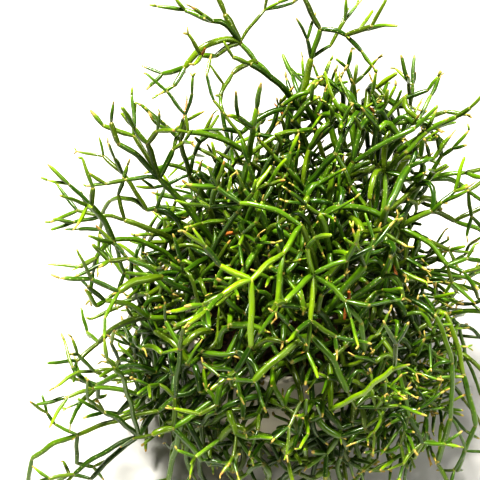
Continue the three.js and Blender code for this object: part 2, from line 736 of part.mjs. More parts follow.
// Short tips stand in twos and threes on the last joints.
function growTips(carriers, most, seed, rule) {
  const grown = [];
  for (const carrier of carriers) {
    const draw = makeDraw(seed + carrier.index);
    const wanted = Math.floor(between(rule.fewest, rule.whorl + 1, draw()));
    for (let number = 0; number < wanted * 2 && grown.length < most; number += 1) {
      if (carrier.children.length >= wanted) break;
      const turn = (number / wanted + draw()) * Math.PI * 2;
      const tilt = between(rule.tiltLow, rule.tiltHigh, draw());
      const length = between(rule.shortest, rule.longest, draw());
      const radius = Math.min(carrier.radius, between(rule.thin, rule.thick, draw()) / 2);
      const upward = Math.abs(carrier.heading[2]) > UPRIGHT ? [1, 0, 0] : [0, 0, 1];
      const across = unit(cross(carrier.heading, upward));
      const over = cross(carrier.heading, across);
      const ring = plus(times(across, Math.cos(turn)), times(over, Math.sin(turn)));
      const way = plus(times(carrier.heading, Math.cos(tilt)), times(ring, Math.sin(tilt)));
      const lifted = unit(plus(way, [0, 0, rule.lift]));
      const end = plus(carrier.end, times(lifted, length));
      const points = archedPoints(carrier.end, end, 0, 0, 1);
      if (!spreads(carrier.index, lifted)) continue;
      if (!staysOut(points, radius * SLIM_SWELL)) continue;
      if (clearance(points, radius * SLIM_SWELL, carrier.index, carrier.rooted) < CLEAR_OF_OTHERS) continue;
      grown.push(addStem(carrier.index, carrier.rooted, points, radius, SLIM_SIDES));
    }
  }
  return grown;
}

const MIDDLE_RULE = {
  attempts: 12, jitter: 10, thin: 2.3, thick: 2.9, bowLow: 0, bowHigh: 4, side: 6,
  shortest: 12, longest: 40, whorl: 4, sides: FULL_SIDES,
};
const SKIRT_RULE = {
  attempts: 14, jitter: 10, thin: 2.2, thick: 2.8, bowLow: 3, bowHigh: 10, side: 10,
  shortest: 14, longest: 48, whorl: 5, sides: FULL_SIDES,
};
const HANGING_RULE = {
  attempts: 14, jitter: 12, thin: 2.2, thick: 3.1, bowLow: 0, bowHigh: 6, side: 8,
  shortest: 10, longest: 38, whorl: 4, sides: SLIM_SIDES,
};
const FRONT_RULE = { ...HANGING_RULE, middle: FRONT_MIDDLE, arc: FRONT_ARC };
const OUTER_RULE = {
  attempts: 14, jitter: 14, thin: 2.2, thick: 3.2, bowLow: -1, bowHigh: 3, side: 6,
  shortest: 9, longest: 34, whorl: 4, sides: SLIM_SIDES,
};
const CREST_RULE = { ...OUTER_RULE, bowHigh: 5, middle: CREST_MIDDLE, arc: CREST_ARC };
const TIP_RULE = {
  fewest: 1, whorl: 3, tiltLow: 0.35, tiltHigh: 0.95, shortest: 6, longest: 13,
  thin: 1.6, thick: 2.4, lift: 0.25,
};

const looseSprays = laySprays();
growRootedStems();
const rootedStems = stems.filter((stem) => stem.rooted >= 0);
joinSprays(looseSprays, rootedStems);
const skirtStems = growRound(rootedStems, SKIRT_OUTLINE, SKIRT_JOINTS, SKIRT_SEED, SKIRT_RULE);
const middleStems = growRound(rootedStems, MIDDLE_OUTLINE, MIDDLE_JOINTS, MIDDLE_SEED, MIDDLE_RULE);
const hangingStems = growRound(skirtStems, HANGING_OUTLINE, HANGING_JOINTS, HANGING_SEED, HANGING_RULE);
const frontCarriers = [...skirtStems, ...hangingStems];
growRound(frontCarriers, HANGING_OUTLINE, FRONT_JOINTS, FRONT_SEED, FRONT_RULE);
const outerStems = growRound(middleStems, OUTER_OUTLINE, OUTER_JOINTS, OUTER_SEED, OUTER_RULE);
growRound([...middleStems, ...outerStems], CREST_OUTLINE, CREST_JOINTS, CREST_SEED, CREST_RULE);
const lastStems = stems.filter((stem) => stem.rooted >= 0 && stem.children.length === 0);
growTips(lastStems, END_TIPS, TIP_SEED, TIP_RULE);

const wasm = await Module();
wasm.setup();

// Joins two rings of corners that face each other, whatever their counts.
function joinRings(faces, low, high) {
  let i = 0;
  let j = 0;
  while (i < low.length || j < high.length) {
    const a = low[i % low.length];
    const b = high[j % high.length];
    if (j === high.length || (i < low.length && (i + 1) / low.length <= (j + 1) / high.length)) {
      i += 1;
      faces.push(a, low[i % low.length], b);
    } else {
      j += 1;
      faces.push(a, high[j % high.length], b);
    }
  }
}

// A stem and all that grows on it, as closed solids. Each stem is a few-sided tube that
// narrows to a blunt point, and the stems of its whorl grow out of the faces of that point.
// One that finds no free face on its side is a solid of its own, rooted in the joint.
function branchSolids(first) {
  const positions = [];
  const faces = [];
  const apartFrom = [];
  const corner = (point) => positions.push(...point) / 3 - 1;
  const cornerAt = (i) => positions.slice(i * 3, i * 3 + 3);
  const middleOf = (ring) => times(ring.map(cornerAt).reduce(plus), 1 / ring.length);

  const ringAt = (centre, heading, across, radius, sides) => {
    const over = cross(heading, across);
    return Array.from({ length: sides }, (_, k) => {
      const turn = (k / sides) * Math.PI * 2;
      const way = plus(times(across, Math.cos(turn)), times(over, Math.sin(turn)));
      return corner(plus(centre, times(way, radius)));
    });
  };

  const raise = (stem, base) => {
    const { points, reach, sides } = stem;
    const last = points.length - 1;
    let across = cross(stem.leaving, Math.abs(stem.leaving[2]) > UPRIGHT ? [1, 0, 0] : [0, 0, 1]);
    if (base) across = minus(cornerAt(base[0]), middleOf(base));
    let ring = base;
    for (let i = base ? 1 : 0; i <= last; i += 1) {
      const heading = unit(minus(points[Math.min(i + 1, last)], points[Math.max(i - 1, 0)]));
      across = unit(minus(across, times(heading, dot(across, heading))));
      const rooted = i === 0 && stem.parent >= 0;
      const sunk = rooted ? times(stems[stem.parent].heading, reach * SUNK_ROOT) : [0, 0, 0];
      const centre = minus(points[i], sunk);
      const radius = reach * (rooted ? ROOT_NARROWING : i === last ? END_NARROWING : 1);
      const next = ringAt(centre, heading, across, radius, sides);
      if (ring) joinRings(faces, ring, next);
      else for (let k = 1; k + 1 < sides; k += 1) faces.push(next[0], next[k + 1], next[k]);
      ring = next;
    }
    const apex = corner(plus(stem.end, times(stem.heading, reach * POINT_LENGTH)));
    const free = ring.map((a, k) => {
      const face = [a, ring[(k + 1) % sides], apex];
      const [p, q, r] = face.map(cornerAt);
      return { face, facing: unit(cross(minus(q, p), minus(r, p))) };
    });
    const crowded = (index) => stem.children.some((near) => {
      return near < index && dot(stems[near].leaving, stems[index].leaving) > CLOSEST_PAIR;
    });
    const seats = stem.children.filter((index) => !crowded(index)).flatMap((index) => {
      return free.map((side) => ({ index, side, fit: dot(side.facing, stems[index].leaving) }));
    });
    const seated = new Set();
    for (const { index, side, fit } of seats.sort((a, b) => b.fit - a.fit)) {
      if (fit < LEAST_FACING || side.taken || seated.has(index)) continue;
      side.taken = true;
      seated.add(index);
      raise(stems[index], side.face);
    }
    apartFrom.push(...stem.children.filter((index) => !seated.has(index)).map((index) => stems[index]));
    for (const { face, taken } of free) if (!taken) faces.push(...face);
  };

  raise(first, null);
  const solid = new wasm.Manifold(new wasm.Mesh({
    numProp: 3,
    vertProperties: new Float32Array(positions),
    triVerts: new Uint32Array(faces),
  }));
  return [solid, ...apartFrom.flatMap(branchSolids)];
}

const finish = (color, roughness) => new THREE.MeshStandardMaterial({ color, roughness, metalness: 0 });

function meshFrom(name, solid, material) {
  const mesh = new THREE.Mesh(geometryFrom(solid), material);
  mesh.name = name;
  return mesh;
}

const innerRadiusAt = (height) => {
  const foot = POT_FOOT_RADIUS - POT_WALL;
  const top = POT_RIM_RADIUS - RIM_STEP - POT_WALL;
  return between(foot, top, height / POT_HEIGHT);
};

function makePot() {
  const bandFoot = POT_HEIGHT - RIM_BAND;
  const outerAt = (height) => innerRadiusAt(height) + POT_WALL;
  const profile = [
    [0, 0],
    [POT_FOOT_RADIUS - FOOT_EDGE, 0],
    [POT_FOOT_RADIUS, FOOT_EDGE],
    [outerAt(bandFoot), bandFoot],
    [POT_RIM_RADIUS - RIM_EDGE, bandFoot + BAND_SLOPE],
    [POT_RIM_RADIUS, bandFoot + BAND_SLOPE + RIM_EDGE],
    [POT_RIM_RADIUS, POT_HEIGHT - RIM_EDGE],
    [POT_RIM_RADIUS - RIM_EDGE, POT_HEIGHT],
    [innerRadiusAt(POT_HEIGHT) + RIM_EDGE, POT_HEIGHT],
    [innerRadiusAt(POT_HEIGHT), POT_HEIGHT - RIM_EDGE],
    [innerRadiusAt(POT_WALL), POT_WALL],
    [0, POT_WALL],
  ].map(([radius, height]) => new THREE.Vector2(radius, height));
  const lathe = new THREE.LatheGeometry(profile, POT_FACETS);
  lathe.rotateX(Math.PI / 2);
  let pot = solidFrom(lathe);
  for (let i = 0; i < DRAIN_HOLES; i += 1) {
    const angle = (i / DRAIN_HOLES) * Math.PI * 2;
    const drill = new THREE.CylinderGeometry(
      DRAIN_HOLE_RADIUS, DRAIN_HOLE_RADIUS, POT_WALL * 3, DRAIN_HOLE_SIDES,
    );
    drill.rotateX(Math.PI / 2);
    drill.translate(DRAIN_RING_RADIUS * Math.cos(angle), DRAIN_RING_RADIUS * Math.sin(angle), POT_WALL / 2);
    pot = pot.subtract(solidFrom(drill));
  }
  return meshFrom("pot", pot, finish(POT_COLOUR, POT_ROUGHNESS));
}

function makeSoil() {
  const bottom = POT_WALL + FIT_GAP;
  const radiusAt = (height) => innerRadiusAt(height) - FIT_GAP;
  const edge = radiusAt(SOIL_TOP);
  const profile = [
    [0, bottom],
    [radiusAt(bottom), bottom],
    [edge, SOIL_TOP],
    [edge / 2, SOIL_TOP],
    [0, SOIL_TOP],
  ].map(([radius, height]) => new THREE.Vector2(radius, height));
  const lathe = new THREE.LatheGeometry(profile, POT_FACETS);
  lathe.rotateX(Math.PI / 2);
  const place = lathe.attributes.position;
  for (let i = 0; i < place.count; i += 1) {
    const x = place.getX(i);
    const y = place.getY(i);
    if (place.getZ(i) < SOIL_TOP) continue;
    const inward = Math.max(0, 1 - Math.hypot(x, y) / edge);
    const wave = Math.sin(x * SOIL_WAVE_X) * Math.cos(y * SOIL_WAVE_Y);
    place.setZ(i, SOIL_TOP + SOIL_RISE * inward * (1 + SOIL_WAVE * wave));
  }
  let soil = solidFrom(lathe);
  for (let number = 0; number < MAIN_STEMS; number += 1) {
    const [x, y] = rootPlace(number);
    const drill = new THREE.CylinderGeometry(
      ROOT_HOLE_RADIUS, ROOT_HOLE_RADIUS, ROOT_HOLE_DEPTH * 2, ROOT_HOLE_SIDES,
    );
    drill.rotateX(Math.PI / 2);
    drill.translate(x, y, SOIL_TOP);
    soil = soil.subtract(solidFrom(drill));
  }
  return meshFrom("soil", soil, finish(SOIL_COLOUR, SOIL_ROUGHNESS));
}

// A fused solid with the slivers of its seams merged away, and its shortest edges closed up.
function withoutSlivers(fused) {
  const { vertProperties, triVerts } = fused.asOriginal().simplify(SLIVER).getMesh();
  const same = Array.from({ length: vertProperties.length / 3 }, (_, i) => i);
  const cornerOf = (i) => [...vertProperties.subarray(i * 3, i * 3 + 3)];
  const standIn = (i) => (same[i] === i ? i : standIn(same[i]));
  for (let i = 0; i < triVerts.length; i += 1) {
    const next = i % 3 === 2 ? i - 2 : i + 1;
    const a = standIn(triVerts[i]);
    const b = standIn(triVerts[next]);
    if (a !== b && apart(cornerOf(a), cornerOf(b)) < SHORTEST_EDGE) same[Math.max(a, b)] = Math.min(a, b);
  }
  const kept = [];
  for (let i = 0; i < triVerts.length; i += 3) {
    const face = [triVerts[i], triVerts[i + 1], triVerts[i + 2]].map(standIn);
    if (new Set(face).size === 3) kept.push(...face);
  }
  return new wasm.Manifold(new wasm.Mesh({ numProp: 3, vertProperties, triVerts: new Uint32Array(kept) }));
}

// Everything that grows from one root is fused into one solid.
function makePlant(number) {
  const base = stems.find((stem) => stem.rooted === number && stem.parent < 0);
  const solids = branchSolids(base);
  const joined = solids.length > 1 ? withoutSlivers(wasm.Manifold.union(solids)) : solids[0];
  const [solid] = joined.decompose().sort((a, b) => b.volume() - a.volume());
  const green = new THREE.Color(DEEP_GREEN).lerp(new THREE.Color(YOUNG_GREEN), (number % GREENS) / GREENS);
  return meshFrom(`stem_${String(number + 1).padStart(2, "0")}`, solid, finish(green, STEM_ROUGHNESS));
}

const group = new THREE.Group();
group.add(makePot());
group.add(makeSoil());
for (let number = 0; number < MAIN_STEMS; number += 1) group.add(makePlant(number));

export default group;
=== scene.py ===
import json
import math
import bpy
import numpy as np
from mathutils import Euler, Matrix, Vector, noise

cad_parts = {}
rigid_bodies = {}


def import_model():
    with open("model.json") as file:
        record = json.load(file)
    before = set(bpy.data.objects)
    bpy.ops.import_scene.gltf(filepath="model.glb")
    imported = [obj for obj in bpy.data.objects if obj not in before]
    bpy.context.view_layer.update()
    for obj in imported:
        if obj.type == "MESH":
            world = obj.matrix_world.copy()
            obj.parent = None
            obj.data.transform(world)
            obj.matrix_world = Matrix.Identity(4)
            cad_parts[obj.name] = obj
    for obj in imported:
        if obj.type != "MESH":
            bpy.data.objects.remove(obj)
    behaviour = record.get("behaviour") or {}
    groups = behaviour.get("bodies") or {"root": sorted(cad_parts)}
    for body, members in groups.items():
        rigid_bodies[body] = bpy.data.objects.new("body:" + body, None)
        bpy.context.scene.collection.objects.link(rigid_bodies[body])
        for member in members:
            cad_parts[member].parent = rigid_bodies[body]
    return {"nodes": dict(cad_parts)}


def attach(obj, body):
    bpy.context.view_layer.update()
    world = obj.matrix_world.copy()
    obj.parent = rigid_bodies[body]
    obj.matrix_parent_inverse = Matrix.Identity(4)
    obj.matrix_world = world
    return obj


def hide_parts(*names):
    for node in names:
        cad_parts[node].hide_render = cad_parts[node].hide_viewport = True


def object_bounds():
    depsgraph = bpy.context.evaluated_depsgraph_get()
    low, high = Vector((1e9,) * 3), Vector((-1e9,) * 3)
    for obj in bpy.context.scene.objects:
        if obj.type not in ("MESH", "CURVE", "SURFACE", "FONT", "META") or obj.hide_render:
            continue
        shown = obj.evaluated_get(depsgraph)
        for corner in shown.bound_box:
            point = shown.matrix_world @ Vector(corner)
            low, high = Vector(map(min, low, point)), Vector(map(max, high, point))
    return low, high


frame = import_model()
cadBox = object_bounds()
print("frame loaded:", len(frame["nodes"]), "nodes")
mm = 0.001

# The view: from in front and above, as the plant is held below the eye
view = {"target": (-0.019, 0.0, 0.110), "elevation": 42.0, "distance": 0.400, "lens": 70.26}

camera = bpy.data.objects.new("camera", bpy.data.cameras.new("camera"))
bpy.context.scene.collection.objects.link(camera)
rise = math.radians(view["elevation"])
back = Vector((0, -math.cos(rise), math.sin(rise)))
camera.location = Vector(view["target"]) + back * view["distance"]
camera.rotation_mode = "QUATERNION"
camera.rotation_quaternion = (-back).to_track_quat("-Z", "Y")
camera.data.lens = view["lens"]
camera.data.sensor_width = 36.0
camera.data.clip_start, camera.data.clip_end = 0.01, 20.0
bpy.context.scene.camera = camera


class Wire:  # a socket of a node tree that shader maths can be written with
    def __init__(self, tree, socket=None):
        self.tree, self.socket = tree, socket

    def add(self, kind, settings, inputs, output=0):
        node = self.tree.nodes.new(kind)
        for name, value in settings.items():
            setattr(node, name, value)
        for name, value in inputs.items():
            if isinstance(value, Wire):
                self.tree.links.new(value.socket, node.inputs[name])
            else:
                node.inputs[name].default_value = value
        return Wire(self.tree, node.outputs[output])

    def maths(self, operation, *values, clamp=False):
        settings = {"operation": operation, "use_clamp": clamp}
        return self.add("ShaderNodeMath", settings, dict(enumerate(values)))

    def __add__(self, other):
        return self.maths("ADD", self, other)

    __radd__ = __add__

    def __sub__(self, other):
        return self.maths("SUBTRACT", self, other)

    def __rsub__(self, other):
        return self.maths("SUBTRACT", other, self)

    def __mul__(self, other):
        return self.maths("MULTIPLY", self, other)

    __rmul__ = __mul__

    def __truediv__(self, other):
        return self.maths("DIVIDE", self, other)

    def smooth(self, low, high):  # 0 below low, 1 above high, or the other way round if low is larger
        inputs = {"Value": self, "From Min": low, "From Max": high}
        if low > high:
            inputs.update({"From Min": high, "From Max": low, "To Min": 1.0, "To Max": 0.0})
        return self.add("ShaderNodeMapRange", {"interpolation_type": "SMOOTHSTEP"}, inputs)

    def mixed(self, share, first, second):
        first, second = [(*c, 1) if isinstance(c, tuple) else c for c in (first, second)]
        return self.add("ShaderNodeMix", {"data_type": "RGBA"}, {0: share, 6: first, 7: second}, 2)

    def speckle(self, where, scale, detail=3.0, rough=0.55):
        inputs = {"Vector": where, "Scale": scale, "Detail": detail, "Roughness": rough}
        return self.add("ShaderNodeTexNoise", {}, inputs)


def newMaterial(name, specular=0.5, coat=0.0, coatRoughness=0.1):
    material = bpy.data.materials.new(name)
    material.use_nodes = True
    shader = material.node_tree.nodes["Principled BSDF"]
    shader.inputs["Specular IOR Level"].default_value = specular
    shader.inputs["Coat Weight"].default_value = coat
    shader.inputs["Coat Roughness"].default_value = coatRoughness
    return material, Wire(material.node_tree), shader


def feed(shader, wire, colour, roughness, height, distance, strength):
    wire.tree.links.new(colour.socket, shader.inputs["Base Color"])
    wire.tree.links.new(roughness.socket, shader.inputs["Roughness"])
    bump = wire.add("ShaderNodeBump", {}, {"Strength": strength, "Distance": distance, "Height": height})
    wire.tree.links.new(bump.socket, shader.inputs["Normal"])


def place(name, mesh, material, standsFor=(), slot=None):
    piece = bpy.data.objects.new(name, mesh)
    mesh.materials.clear()
    mesh.materials.append(material)
    bpy.context.scene.collection.objects.link(piece)
    if slot:
        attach(piece, "root")
        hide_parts(*standsFor)
    return piece


# How the plant grows: the same rule and the same draws that shape its solids. Millimetres.
growth = {
    "mainStems": 30, "rootedRadius": 30, "rootStemRadius": 1.35, "collarHeight": 3.0,
    "clearOfOthers": 0.45, "clearOfOwn": 0.1, "wideOpen": 9, "jointStretch": 0.4,
    "slimSwell": 1.35, "fullSwell": 1.2, "closestGrown": 0.76, "leastForward": -0.35,
    "floorClearance": 5, "potHeight": 70, "potRimRadius": 45, "potClearance": 1.5,
    "soilTop": 61, "rootDepth": 10.7, "leanRadius": 60, "shiftFrom": 96, "shiftRise": 55,
    "oneSpan": 14, "twoSpans": 36, "slimSpray": 12, "nearJoints": 4, "shareDrift": 0.04,
    "turnDrift": 0.6, "fineFrom": 40, "boxRoom": 5,
}
goldenAngle = math.pi * (3 - math.sqrt(5))
crownCentre = (-3, -4)
topShift = (18, 8)
innerOutline = [(0, 101), (14, 99), (25, 93), (33, 84)]
middleOutline = [(0, 131), (20, 127), (36, 113), (46, 97), (53, 82), (56, 64)]
outerOutline = [(0, 152), (26, 146), (46, 126), (56, 104), (61, 80), (61, 56), (58, 34)]
skirtOutline = [(50, 92), (58, 80), (61, 62)]
hangingOutline = [(58, 88), (64, 66), (64, 46), (58, 24)]
crestOutline = [(2, 161), (18, 163), (32, 156), (42, 140)]

rootedRule = dict(seed=1000, attempts=14, shareDrift=0.08, turnDrift=0.5, jitter=10, bowLow=3,
                  bowHigh=6, clear=1.5)
skirtRule = dict(count=44, seed=2500, attempts=14, jitter=10, thin=2.2, thick=2.8, bowLow=3,
                 bowHigh=10, side=10, shortest=14, longest=48, whorl=5, slim=False)
middleRule = dict(skirtRule, count=110, seed=2000, attempts=12, thin=2.3, thick=2.9, bowLow=0,
                  bowHigh=4, side=6, shortest=12, longest=40, whorl=4)
hangingRule = dict(count=130, seed=3500, attempts=14, jitter=12, thin=2.2, thick=3.1, bowLow=0,
                   bowHigh=6, side=8, shortest=10, longest=38, whorl=4, slim=True)
frontRule = dict(hangingRule, count=46, seed=5000, middle=-1.75, arc=2.3)
outerRule = dict(hangingRule, count=262, seed=3000, jitter=14, thick=3.2, bowLow=-1, bowHigh=3,
                 side=6, shortest=9, longest=34)
crestRule = dict(outerRule, count=46, seed=5700, bowHigh=5, middle=0.9, arc=1.9)
tipRule = dict(most=410, seed=4000, fewest=1, whorl=3, tiltLow=0.35, tiltHigh=0.95, shortest=6,
               longest=13, thin=1.6, thick=2.4, lift=0.25)
linkRule = dict(carriers=9, sides=(0, 4, -4, 9, -9), bows=(0, 8, -4), moreClear=0.3)

